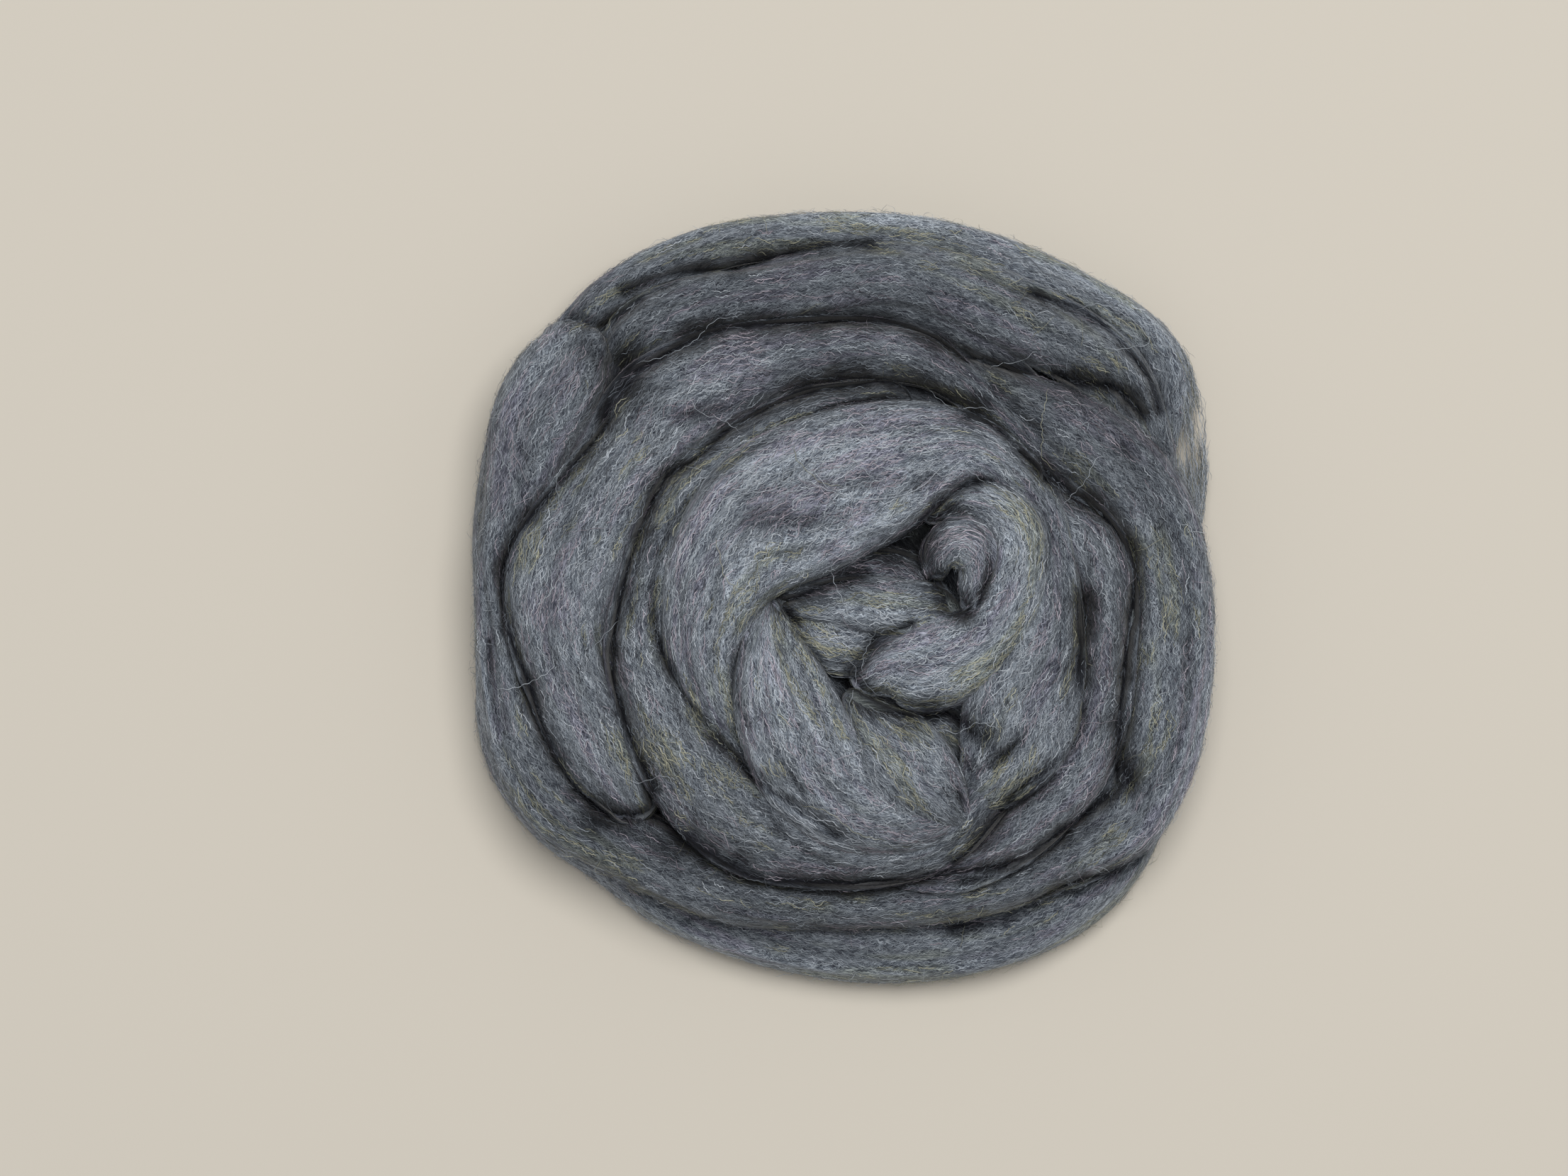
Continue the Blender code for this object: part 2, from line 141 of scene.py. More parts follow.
# The roving's turns as sections along them: x, y, z of a section's middle, width, thickness; in mm.
turns = {
    "outerRight": [
        (19, 76, 29, 8, 9), (32, 67, 31, 12, 13), (46, 58, 31, 17, 16), (62, 49, 31, 22, 18),
        (76, 38, 31, 24, 20), (87, 24, 30, 24, 21), (92, 6, 29, 23, 21), (93, -13.5, 28, 23, 21),
        (91, -33, 27, 22, 21), (86.5, -49, 26, 21, 20), (78, -63, 26, 20, 20), (64, -72, 25, 18, 19),
    ],
    "outerBottom": [
        (78, -63, 25, 18, 18), (64, -72, 26, 18, 19), (48, -80, 25, 16, 18), (30, -85, 25, 15, 18),
        (10, -87, 25, 15, 18), (-10, -86, 25, 17, 18), (-30, -82, 26, 19.6, 19),
        (-47.6, -74.8, 26, 20, 20), (-64.4, -66.4, 26, 21, 20), (-79.6, -56.6, 26, 22, 20),
        (-89, -41, 26, 19, 20),
    ],
    "outerLeft": [
        (-79, -56, 25, 18, 18), (-89, -41, 26, 19, 20), (-93, -24, 26, 16, 19), (-95, -5, 26, 15, 19),
        (-95, 11, 27, 17, 20), (-91, 29, 28, 22, 21), (-85.4, 47.4, 29, 29, 22),
        (-77.9, 59.4, 29, 30.6, 22), (-74, 67.5, 27, 24, 19),
    ],
    "topOuter": [
        (-76, 76, 17, 10, 10), (-66.4, 84.9, 19, 12, 13), (-51.8, 93.3, 20, 13.4, 15),
        (-32.4, 99.9, 20, 13.8, 16), (-11, 101.8, 20, 13.8, 16), (10.5, 101, 20, 13.5, 16),
        (30, 98.5, 20, 14, 17), (50, 93, 20, 14, 16), (69, 84, 19, 14, 15), (82, 75, 17, 14.5, 14),
        (89.5, 65, 14, 14, 13), (91, 54, 12, 10, 11), (92, 43, 9, 5, 7),
    ],
    "topInner": [
        (-64, 65, 24, 12, 12), (-56, 73, 26, 21, 17), (-44, 80, 27, 20, 17), (-26, 85, 27, 18, 17),
        (-8, 88, 27, 20, 18), (10, 90, 27, 21, 18), (28, 87, 27, 22, 18), (46, 80, 27, 23, 18),
        (63, 72, 26, 22, 17), (76, 63, 24, 20, 16), (84, 51, 21, 16, 15), (89, 38, 17, 12, 12),
        (93, 24, 12, 7, 8),
    ],
    "middleLeft": [
        (-59, -57, 30, 15, 13), (-67, -43, 32, 25, 17), (-76, -24, 33, 26, 19), (-80, -7, 33, 31, 20),
        (-78, 9, 33, 34, 20), (-72, 23, 33, 30, 20), (-62, 37, 34, 26, 20), (-50, 50, 34, 25, 20),
    ],
    "middleTop": [
        (-62, 38, 33, 28, 19), (-52, 52, 34, 32, 20), (-37, 61, 34, 30, 20), (-18, 67, 34, 24, 19),
        (2, 70, 34, 19, 18), (20, 68, 34, 17, 17), (31, 62, 34, 13, 15), (42, 53, 34, 11, 14),
        (54, 42, 34, 11, 13), (65, 34, 33, 11, 12), (74, 27, 30, 7, 8),
    ],
    "innerLeft": [
        (12, 53, 36, 17, 16), (-8, 50, 37, 18, 16), (-26, 42, 37, 18, 16), (-41, 32, 37, 18, 16),
        (-50, 18, 37, 18, 16), (-55, 3, 37, 18, 16), (-57, -12, 37, 20, 17), (-53, -26, 38, 23, 18),
        (-46, -41, 38, 27, 18), (-36, -55, 37, 29, 18),
    ],
    "innerBottom": [
        (-46, -41, 37, 25, 17), (-36, -55, 37, 29, 18), (-23, -65, 36, 29, 18), (-4, -71, 35, 22, 17),
        (14, -71, 35, 19, 16), (29, -66, 35, 18, 16), (41, -53, 35, 18, 16), (52, -43, 33, 16, 15),
    ],
    "innerRight": [
        (50, 38, 34, 12, 12), (62, 26, 35, 15, 14), (71, 15, 36, 17, 16), (75, 0, 36, 17, 17),
        (75, -15, 36, 17, 17), (73, -31, 36, 18, 17), (68, -46, 36, 18, 17), (58, -58, 35, 18, 16),
        (46, -68, 34, 16, 15), (32, -76, 33, 12, 13), (19, -78, 31, 8, 10),
    ],
    "crownFan": [
        (-31, -41, 38, 8, 8), (-37, -28, 42, 17, 14), (-40, -15, 44, 21, 16), (-38, -3, 45, 28, 17),
        (-33, 9, 46, 35, 18), (-22, 21, 46, 43, 19), (-5, 30, 46, 44, 20), (10, 36, 45, 40, 20),
        (24, 41, 44, 29, 18), (38, 41, 43, 17, 15), (49, 33, 42, 15, 14),
    ],
    "crownRight": [
        (38, 41, 42, 15, 14), (49, 33, 42, 15, 14), (56, 22, 41, 15, 14), (59, 9, 41, 15, 14),
        (60, -5, 42, 16, 14), (57, -17, 43, 24, 16), (51, -29, 43, 33, 17), (47, -40, 42, 31, 16),
        (42, -49, 40, 23, 14), (36, -55, 37, 11, 9),
    ],
    "crownFold": [
        (-20, -3, 46, 5, 6), (-20, -12, 48, 15, 13), (-18, -23, 49, 25, 17), (-14, -35, 48, 30, 18),
        (-8, -47, 46, 32, 18), (1, -57, 43, 28, 17), (13, -62, 41, 22, 16), (24, -63, 39, 16, 14),
        (32, -60, 36, 9, 9),
    ],
    "crownTuck": [
        (3, -29, 45, 7, 7), (8, -36, 47, 17, 13), (14, -43, 47.5, 26, 16), (21, -51, 45.5, 26, 16),
        (28, -58, 42, 19, 13), (33, -63, 38, 8, 7),
    ],
    "curl": [
        (6.6, -22.4, 44, 9, 9), (13, -19.4, 45, 16.5, 14), (22, -19, 46, 24, 17), (32, -16, 46, 23, 17),
        (41, -10, 45, 19, 16), (47, -1, 45, 17, 16), (50, 9, 45, 16, 16), (49, 19, 45, 15, 15),
        (43, 26, 45, 13, 13), (34, 28, 43, 10, 11), (26, 24, 40, 6, 8),
    ],
    "curlTip": [
        (26.5, 8, 43, 7, 7), (28.4, 12.6, 47, 11.5, 12), (33.6, 15, 48, 14, 12), (38, 9.6, 47, 12.5, 11),
        (36.9, 2.6, 45.5, 9, 9), (35.4, -2, 43, 5, 5),
    ],
    "heartUpper": [
        (-8, 2, 39, 10, 10), (0, 6, 41, 14, 12), (10, 8, 41, 14, 12), (19, 6, 39, 12, 11),
        (25, 1, 37, 8, 8),
    ],
    "heartMiddle": [
        (-14, -2, 41, 10, 10), (-6, -2, 44, 14, 13), (5, -2, 45, 17, 14), (16, -3, 45, 17, 14),
        (25, -3, 43, 14, 13), (31, -5, 40, 8, 9),
    ],
    "heartLower": [
        (-13, -8, 41, 9, 9), (-6, -12, 43, 16, 13), (2, -14, 43, 18, 13), (10, -13, 42, 15, 12),
        (16, -10, 40, 9, 10),
    ],
    "heartBase": [
        (-2, -20, 33, 16, 14), (8, -26, 36, 20, 14), (20, -31, 37, 20, 14), (31, -36, 36, 16, 13),
        (36, -42, 34, 10, 10),
    ],
}

# The grooves between the turns: depth and half width, then (x, y) along each; in mm.
grooves = {
    "topInner": (9.5, 1.7, [
        (-60, 63), (-48, 69.6), (-38, 75.6), (-28, 77), (-18, 77.4), (2, 78.6), (10, 78.8), (22, 74.8),
        (34, 68.5), (50, 64.5), (66, 60.5), (77, 59.5), (85, 52),
    ]),
    "topOuter": (7.0, 1.3, [
        (-61.5, 86.5), (-51.5, 90.5), (-41.5, 92.8), (-31.5, 93.2), (-23.5, 95.6), (-11.5, 98), (0, 99.4),
        (8, 99.8),
    ]),
    "topLeftLow": (4.5, 1.3, [(-77, 79), (-68, 77), (-62, 80.6), (-54, 86.2), (-47.5, 88.6)]),
    "topRight": (8.2, 1.5, [(54, 86), (58, 84.4), (64, 82.4), (70, 79.4), (75, 76)]),
    "topRightEnd": (4.6, 1.1, [(75, 76), (82, 68.6), (88, 60.6)]),
    "lensEdge": (3.4, 1.5, [(-46, 51), (-37.5, 51.6), (-27.5, 53.6), (-17.5, 56.6), (-7.5, 59.6)]),
    "lowRight": (6.4, 1.4, [
        (86, -72.4), (80, -76.4), (72, -78.4), (66, -80.4), (60, -82.4), (54, -86.4), (50, -89.4),
        (42, -92.4), (32, -93.8),
    ]),
    "lowMiddle": (4.4, 1.1, [
        (68, -62.4), (62, -67.4), (55, -72), (48, -75), (42, -78.8), (36, -79.6), (31, -79.4),
    ]),
    "kneeUpper": (6.4, 1.8, [(-66, 58), (-64, 62), (-67, 50)]),
    "kneeInner": (9.5, 1.5, [
        (-66, 50), (-70, 44), (-79.6, 32.6), (-89.8, 20.4), (-95.4, 9.6), (-96, 2), (-94, -9), (-89, -23),
        (-85, -35), (-78, -50), (-68, -60), (-61, -61.5), (-53, -61),
    ]),
    "bottomInner": (9.5, 1.6, [
        (-53, -61), (-42, -69.5), (-29, -77), (-18, -80), (2, -81), (22, -79.5), (29, -77.5), (46, -75.5),
        (56, -71), (68, -61.5), (80, -52.5),
    ]),
    "leftInner": (10.0, 1.3, [
        (-53, -60), (-54, -52), (-58, -43), (-62, -32), (-65, -20), (-63.6, -7), (-60, 9), (-55.4, 22),
        (-50, 33.6), (-41.6, 38.6), (-32.6, 47),
    ]),
    "upperInner": (7.5, 1.3, [
        (-32.6, 47), (-21, 53.6), (-10, 58), (2, 61), (22, 59.5), (34, 54), (44, 47), (55, 35.5),
        (65, 28.5),
    ]),
    "rightInner": (11.0, 1.5, [
        (65, 28.5), (75, 21.5), (82, 10.5), (81.8, -3), (80.2, -14), (79, -25), (77.2, -40), (78, -52),
    ]),
    "crownOuter": (5.0, 0.9, [(32, 53.5), (12, 56), (-8, 51.5), (-22, 44)]),
    "crownOuterLeft": (3.4, 0.9, [(-22, 44), (-34, 35.5), (-45, 24.5), (-51.6, 12.5)]),
    "crownOuterLow": (5.0, 0.9, [
        (-51.6, 12.5), (-53.4, -3), (-49, -19), (-40, -34), (-32, -41.5), (-26, -50), (-16, -56.5),
        (-5, -64.5),
    ]),
    "crownOuterFoot": (1.4, 0.9, [(-5, -64.5), (5, -71), (20, -69.5), (34, -60.5)]),
    "foldLeft": (4.0, 0.9, [(-29, -15), (-30.5, -21), (-29, -29), (-27, -36)]),
    "pinch": (7.5, 1.3, [(28, 27.4), (20, 19.8), (12, 14.1), (2, 7.7), (-8, 2), (-18, -1.6)]),
    "heartFold": (2.4, 0.8, [(-14, -5), (-2, -8.5), (8, -10.5)]),
    "foldRight": (2.9, 0.7, [(-16, -7), (-12, -11), (-6, -19), (-1, -27), (2, -31)]),
    "lobeUpper": (6.6, 1.0, [(1, -24), (4.6, -18.8), (8, -13.4), (13.4, -10), (19, -7.4)]),
    "lobeLower": (6.4, 1.0, [(2, -29.6), (12, -32.4), (20, -33.4), (27, -32), (33, -31.4)]),
    "tuckEdge": (1.0, 0.9, [(27, -32), (31, -37), (34, -43), (35.5, -49), (34, -56)]),
    "curlOuter": (5.6, 1.2, [(28.6, 27.4), (33, 30.6), (38, 32.7), (41.4, 33)]),
    "curlOuterRight": (2.8, 1.1, [
        (41.4, 33), (50, 30.5), (54.5, 25.5), (57.4, 19.5), (58, 13.5), (57.6, 8),
    ]),
    "curlInner": (5.6, 0.9, [(22, 20), (26, 21.4), (30, 21.6), (33, 21.2)]),
    "curlInnerTop": (3.0, 0.8, [(33, 21.2), (37.6, 19.6), (41, 16)]),
    "curlInnerRight": (5.4, 0.9, [(41, 16), (41.5, 11), (40.6, 5), (38.8, 0), (37.4, -3.6)]),
    "rightLowTop": (3.6, 1.1, [(68, -29), (66, -39), (62, -45)]),
    "rightLow": (6.5, 1.1, [
        (62, -45), (54, -50.6), (48, -55.6), (44, -61.4), (39, -67), (34, -72), (28, -77),
    ]),
}

# Places where the grooves open wide and dark, in the same way.
pits = {
    "underTop": (9.0, 2.6, [(-43, 72.8), (-37, 75.2), (-30, 76.4), (-22, 77), (-8, 77.4)]),
    "underTopLeft": (7.0, 2.0, [(-60, 64), (-52, 67.5), (-44, 72)]),
    "underTopMiddle": (8.0, 2.3, [(-8, 77), (2, 78), (10, 78), (18, 76), (27, 71.6)]),
    "topEnd": (6.0, 1.5, [(84.6, 68), (87, 62.6), (88.6, 57), (89.6, 53)]),
    "underTopRight": (8.0, 2.4, [(60, 62.5), (70, 60.8), (77, 58.4), (82, 54)]),
    "kneeCorner": (9.0, 3.0, [(-63, 63), (-65, 57), (-67.5, 50.5)]),
    "kneeHollow": (5.0, 5.0, [(-61, 67), (-60, 61), (-63, 56)]),
    "kneeTop": (6.5, 2.2, [(-71.5, 70.4), (-68.6, 68), (-66, 64)]),
    "besideRidge": (9.0, 2.7, [
        (-14, 57.6), (-6, 60), (4, 61.4), (13, 60.8), (22, 59.4), (30, 56), (38, 52),
    ]),
    "middleSplit": (4.6, 0.9, [(42, 58.6), (48, 52.6), (55, 47.4)]),
    "rightBend": (8.0, 2.1, [(50, 41), (56, 36), (64, 30.5), (71, 27), (77, 20), (82, 13)]),
    "pinchCorner": (9.0, 2.1, [(13.6, 14.4), (19.4, 17.5), (24.4, 20.9), (30, 24.9)]),
    "curlSide": (7.5, 3.0, [(24, 20), (22.5, 15), (22, 11)]),
    "pinchHollow": (8.5, 3.0, [(13.4, 12.2), (17, 12.8), (21, 14), (23, 17.6)]),
    "pinchLeft": (6.6, 2.2, [(-12, 0.3), (-4, 3.5), (2.4, 6), (5.6, 6.4)]),
    "heartLeft": (8.5, 2.1, [(-18, -1.4), (-15, -4.6), (-13.4, -6.6)]),
    "curlShadow": (11.0, 2.6, [(26.2, 5.2), (28, 1.6), (30.2, -2), (33.6, -4.8)]),
    "curlArc": (3.0, 1.0, [(26, 20.8), (29.4, 21.8), (33, 21.4)]),
    "lobePoint": (11.0, 2.9, [(3, -21.4), (2.2, -23.8), (4, -26.8), (7.8, -29.4), (12.4, -31)]),
    "lobeNeck": (6.6, 1.5, [(9.4, -12.4), (6.6, -15.6), (4.4, -19.6)]),
    "lobeShadow": (7.8, 2.3, [
        (4.6, -28.8), (12.4, -31.8), (20, -32.8), (25.4, -31.6), (31.4, -33.2), (35.4, -36.8),
        (39.4, -39.6),
    ]),
    "foldsLow": (6.2, 1.5, [(43, -46), (46, -43.4), (49, -40.6)]),
    "foldsLowLeft": (5.5, 1.2, [(35, -47), (38.6, -49)]),
    "foldsFoot": (6.0, 1.5, [(32.6, -55), (33.4, -57.4)]),
    "rightFoot": (7.5, 1.9, [
        (59, -50.6), (51, -56.2), (45, -61), (40.8, -66), (36.6, -70.6), (31.4, -74.4),
    ]),
    "rightNotch": (9.0, 2.6, [(68, -1), (67.4, -11), (66.6, -19), (66.8, -24)]),
    "foldPit": (5.0, 1.3, [(-30.4, -22), (-29, -31)]),
    "innerLeftWide": (5.5, 1.9, [(-52.8, 30), (-55, 20), (-58, 8), (-61, -3)]),
    "foldFlank": (3.4, 2.6, [(-23, -34), (-19.6, -44), (-12, -54)]),
    "foldFoot": (0.8, 2.4, [(2, -64), (12, -66.4), (22, -65), (30, -60)]),
    "foldFootLeft": (5.2, 1.8, [(-18.6, -55), (-9.6, -60.2), (-1.6, -66.6)]),
    "foldPitLow": (5.0, 1.5, [(-36, -39), (-29, -46), (-22, -51)]),
    "rightCorner": (10.0, 2.2, [(77.6, -36), (78, -46)]),
    "rightCornerLow": (9.0, 3.4, [(79.4, -47), (81.4, -53.4)]),
    "leftWide": (8.0, 1.9, [(-87, -30), (-83, -40), (-78, -49)]),
    "leftFoot": (9.0, 2.3, [(-75, -54.4), (-67, -61), (-58, -62.6)]),
    "leftCorner": (9.0, 2.4, [(-54, -56), (-52, -61), (-47, -65)]),
    "bottomLeft": (9.0, 2.9, [(-46, -66.5), (-38, -72), (-30, -75.4)]),
    "bottomLeftWide": (5.5, 3.0, [(-70, -62.4), (-62, -65), (-54, -67.6), (-47, -71)]),
    "bottomWide": (8.0, 2.0, [(-18, -79.4), (2, -81), (22, -79.8)]),
    "lowRightPit": (6.0, 2.2, [(78, -77), (70, -79), (62, -82)]),
}

# Soft creases inside the turns, in the same way.
creases = {
    "kneeSliver": (1.4, 1.2, [
        (-97, 57), (-99, 45), (-102, 33), (-103, 23), (-103, 13), (-101, 3), (-98, -15),
    ]),
    "leftRim": (3.4, 0.9, [(-99.6, -12), (-99.6, -20), (-98.8, -28), (-97.4, -36)]),
    "kneeFolds": (0.9, 1.6, [(-88, 60), (-90, 45), (-91, 30), (-94, 14)]),
    "topBroad": (1.0, 1.8, [(24, 88), (40, 82), (56, 75), (70, 70)]),
    "leftBroad": (1.0, 2.0, [(-76, -38), (-83, -15), (-82, 8), (-75, 26), (-64, 40)]),
    "leftBroadInner": (0.8, 1.6, [(-68, -30), (-72, -8), (-70, 12), (-60, 30)]),
    "ridgeOuter": (2.4, 1.2, [(20, 70), (26, 68), (32, 65), (38, 61), (44, 57.6), (50, 52.6), (56, 47)]),
    "rightBroad": (2.0, 1.5, [(88, 26), (97, 8), (98, -8), (97, -31), (92, -51)]),
    "bottomFold": (1.5, 1.3, [(91, -56), (82, -60), (74, -63), (62, -68), (54, -70)]),
    "bottomLow": (1.4, 1.0, [
        (-48, -92.4), (-38, -91.4), (-30, -88.4), (-18, -89.4), (-8, -92.4), (6, -94.4), (20, -95),
    ]),
    "lowLeft": (2.6, 1.4, [(-30, -46), (-21, -61), (-15, -68), (-6, -74), (4, -77)]),
    "lowLeftInner": (1.4, 1.4, [(-48, -20), (-44, -36), (-36, -50), (-26, -62)]),
    "crownUpper": (2.2, 1.5, [(-20, 43), (-10, 45.5), (-2, 47), (6, 48)]),
    "crownUpperRight": (1.2, 1.5, [(6, 48), (15, 48.5), (25, 47)]),
    "crownUpperLeft": (2.8, 1.3, [(-18, 46.4), (-11, 50.4), (-3, 53), (1, 55)]),
    "crownBelly": (3.2, 3.0, [
        (-26, 21), (-18, 22), (-8, 20.8), (2, 22.4), (9, 25), (17, 29), (25, 33.4),
    ]),
    "crownLong": (2.0, 1.8, [(-28, 28.6), (-8, 30.6), (12, 32.6), (28, 31)]),
    "crownLow": (1.5, 1.8, [(-26, 11), (-16, 12), (-4, 13.6), (4, 17)]),
    "crownFlank": (2.4, 1.8, [(-46, 2), (-45, -12), (-42, -26)]),
    "crownFlankInner": (1.5, 1.8, [(-36, 6), (-36, -8), (-37, -22)]),
    "foldLength": (1.8, 1.6, [(-18, -12), (-13.6, -31), (-6, -51), (2, -58)]),
    "foldStreak": (2.3, 1.6, [(-13, -14), (-8.4, -28), (-2.6, -41), (3, -52)]),
    "rightFolds": (2.0, 1.4, [(36, -32), (43, -31), (50, -27), (57, -20)]),
    "lobeEnd": (1.0, 1.2, [(33, -29.4), (41, -22), (48, -15)]),
    "rightShade": (2.2, 3.2, [(79, 42), (85, 31), (88.6, 20)]),
    "rightGap": (3.5, 1.5, [(69, 10), (68.5, 0), (67.5, -11), (67, -25)]),
    "curlLength": (1.3, 1.5, [(14, -21), (26, -18), (38, -12), (45, -2), (48, 10)]),
}

# Painted light and shade: how pale the wool is along each turn, at even steps; the crown's turns are
# painted the palest.
paintedPaleness = {
    "outerRight": [0.56, 0.68, 1.04, 1.18, 0.98],
    "outerBottom": [0.88, 0.84, 0.79, 0.84],
    "outerLeft": [1.1, 1.12, 0.84],
    "topOuter": [0.84, 1.2, 1.36, 1.46, 1.24],
    "topInner": [0.82, 0.9, 0.93, 0.96, 0.83],
    "middleLeft": [1.26, 1.33, 1.24],
    "middleTop": [0.92, 0.99, 0.91, 0.85, 0.92, 1.08],
    "innerLeft": [0.7, 0.8, 0.92, 0.94],
    "innerBottom": [0.92, 1.04, 0.9],
    "innerRight": [0.9, 0.92, 1.09, 1.0],
    "crownFan": [1.13, 1.33, 1.38, 1.24],
    "crownRight": [0.98, 0.91, 0.93, 1.08, 1.0],
    "crownFold": [1.28, 1.3, 1.08, 0.85],
    "crownTuck": [1.0, 0.98],
    "curl": [1.34, 1.3, 1.24, 1.2],
    "curlTip": [1.15, 1.15],
    "heartUpper": [0.92, 0.92],
    "heartMiddle": [1.15, 1.1],
    "heartLower": [1.28, 1.24],
    "heartBase": [0.95, 0.95],
}

turnShape = {
    "alongStep": 1.8,  # mm between rings
    "topStep": 0.55,  # mm between a ring's points over the top, and beneath
    "lowStep": 4.0,
    "topSpread": (-20, 200),  # degrees round a section that are its top
    "roundSteps": 5,  # rings in a rounded end
    "squareness": 2.4,  # 2 is an ellipse; wool pressed by its neighbours is a little squarer
    "nestRadius": 107.0,
    "domeLean": 0.35,  # sections lean outward with the dome
    # lengthwise relief: cell length, cell width and height in mm
    "relief": [(70, 12, 1.0), (48, 6, 1.05), (34, 3.0, 0.6), (24, 1.6, 0.14), (17, 0.9, 0.08)],
    "slender": 12,  # mm: a thinner turn gets less relief
    "ribWidths": (2, 8),  # relief in cells of these widths gets painted light and shade
    "ribShade": 0.13,  # painted shade and light: how much darker a hollow between ribs is, and paler a rib, to each mm
    "thinPaler": 0.65,  # the outermost walls, from wallPlace mm out, are paler: light comes through them
    "wallPlace": 98,
    "tintCell": (11, 1.7),  # length and width of a patch of lilac or olive fibre
    "floorRise": None,
}


def catmullRom(a, b, c, d, t):
    # from b, where t is 0, to c
    square = 2 * a - 5 * b + 4 * c - d
    cube = 3 * b - a - 3 * c + d
    return 0.5 * (2 * b + (c - a) * t + square * t**2 + cube * t**3)


def smoothRows(rows, step):
    # a curve through the rows, with places about a step apart
    rows = np.array(rows, float)
    padded = np.vstack([rows[:1], rows, rows[-1:]])
    pieces = []
    for i in range(len(rows) - 1):
        a, b, c, d = padded[i : i + 4]
        count = max(1, round(float(np.linalg.norm(c[:3] - b[:3])) / step))
        pieces.append(catmullRom(a, b, c, d, np.arange(count)[:, None] / count))
    return np.vstack([*pieces, rows[-1:]])


def unit(vectors):
    return vectors / np.maximum(np.linalg.norm(vectors, axis=-1, keepdims=True), 1e-12)


def runningSum(steps):
    return np.concatenate([[0], np.cumsum(steps)])


def lengthsAlong(path):
    # how long the path is up to each of its places
    return runningSum(np.linalg.norm(np.diff(path[:, :3], axis=0), axis=1))


def cellsRound(girth, cellWide):
    # whole cells of noise round a turn, so that they meet at its seam
    return max(3, round(girth / cellWide))


def cellNoise(x, y, rng, wrap):
    # smooth noise from -1 to 1 between random cells; x repeats after 64 cells and y after wrap
    long = 64
    cells = rng.uniform(-1, 1, (long, wrap))
    xi, yi = np.floor(x).astype(int), np.floor(y).astype(int)
    fx, fy = x - xi, y - yi
    fx, fy = fx * fx * (3 - 2 * fx), fy * fy * (3 - 2 * fy)
    x0, x1 = xi % long, (xi + 1) % long
    y0, y1 = yi % wrap, (yi + 1) % wrap
    near = cells[x0, y0] * (1 - fy) + cells[x0, y1] * fy
    far = cells[x1, y0] * (1 - fy) + cells[x1, y1] * fy
    return near * (1 - fx) + far * fx


darkDepth = 5.5  # mm: a cleft this deep gets the darkest painted shade
creaseLines = []
for deep, halfWidth, route in [*grooves.values(), *pits.values(), *creases.values()]:
    creaseLines.append((deep, halfWidth, smoothRows([(*point, 0) for point in route], 3.0)[:, :2]))


def nearestOn(line, px, py):
    # the distance from each place to the line, and how far along it the nearest place is
    nearest, place = np.full(px.shape, 1e9), np.zeros(px.shape)
    done = 0.0
    for a, b in zip(line, line[1:]):
        run = b - a
        t = np.clip(((px - a[0]) * run[0] + (py - a[1]) * run[1]) / (run @ run), 0, 1)
        distance = np.hypot(px - a[0] - t * run[0], py - a[1] - t * run[1])
        place = np.where(distance < nearest, done + t * math.sqrt(run @ run), place)
        nearest = np.minimum(nearest, distance)
        done += math.sqrt(run @ run)
    return nearest, place


def creaseDepth(x, y):
    # how far the grooves and creases press the wool in at the places x, y, and how much painted shade
    # darkens the wool there
    depth, dark = np.zeros_like(x), np.zeros_like(x)
    for k, (deep, halfWidth, line) in enumerate(creaseLines):
        reach = halfWidth * 7
        low, high = line.min(0) - reach, line.max(0) + reach
        close = (x > low[0]) & (x < high[0]) & (y > low[1]) & (y < high[1])
        nearest, place = nearestOn(line, x[close], y[close])
        # a narrow cleft with soft shoulders, uneven along its length
        wide = halfWidth * (0.95 + 0.32 * np.sin(place / 2.9 + k) + 0.22 * np.sin(place / 1.3 + 2 * k))
        sunk = deep * (0.85 + 0.3 * np.sin(place / 7.3 + 3 * k))
        narrow, soft = np.exp(-((nearest / wide) ** 2)), np.exp(-((nearest / halfWidth / 2.4) ** 2))
        depth[close] = np.maximum(depth[close], sunk * (0.7 * narrow + 0.3 * soft))
        # painted shade, darkest in deep narrow clefts
        shade = np.clip(sunk / darkDepth, 0, 1) * (0.72 * narrow + 0.28 * soft)
        dark[close] = np.maximum(dark[close], shade)
    return depth, dark


def tintAt(surface, arc, share):
    # -1 lilac to 1 olive, in long patches that follow the fibre
    rng = np.random.default_rng(surface["seed"] + 7)
    cellLong, cellWide = turnShape["tintCell"]
    wrap = cellsRound(surface["meanGirth"], cellWide)
    broadWrap = cellsRound(wrap, 5)
    broad = cellNoise(arc / cellLong / 5 + 9, share * broadWrap, rng, broadWrap)
    fine = cellNoise(arc / cellLong + 31, share * wrap, rng, wrap)
    return broad * 0.6 + fine * 0.7


def ovalPoints(angle, squareness):
    c, s = np.cos(angle), np.sin(angle)
    return np.sign(c) * np.abs(c) ** (2 / squareness), np.sign(s) * np.abs(s) ** (2 / squareness)


def ringAngles(width, thick, shape):
    # angles in small even steps over the top and wide ones beneath; the seam is at the bottom
    fine = np.radians(np.linspace(-90, 270, 1441))
    x, z = ovalPoints(fine, shape["squareness"])
    run = np.hypot(np.diff(x) * width / 2, np.diff(z) * thick / 2)
    angle = np.degrees(fine[1:] + fine[:-1]) / 2
    first, last = shape["topSpread"]
    step = np.where((angle > first) & (angle < last), shape["topStep"], shape["lowStep"])
    count = runningSum(run / step)
    return np.interp(np.linspace(0, count[-1], round(count[-1]) + 1), count, fine)


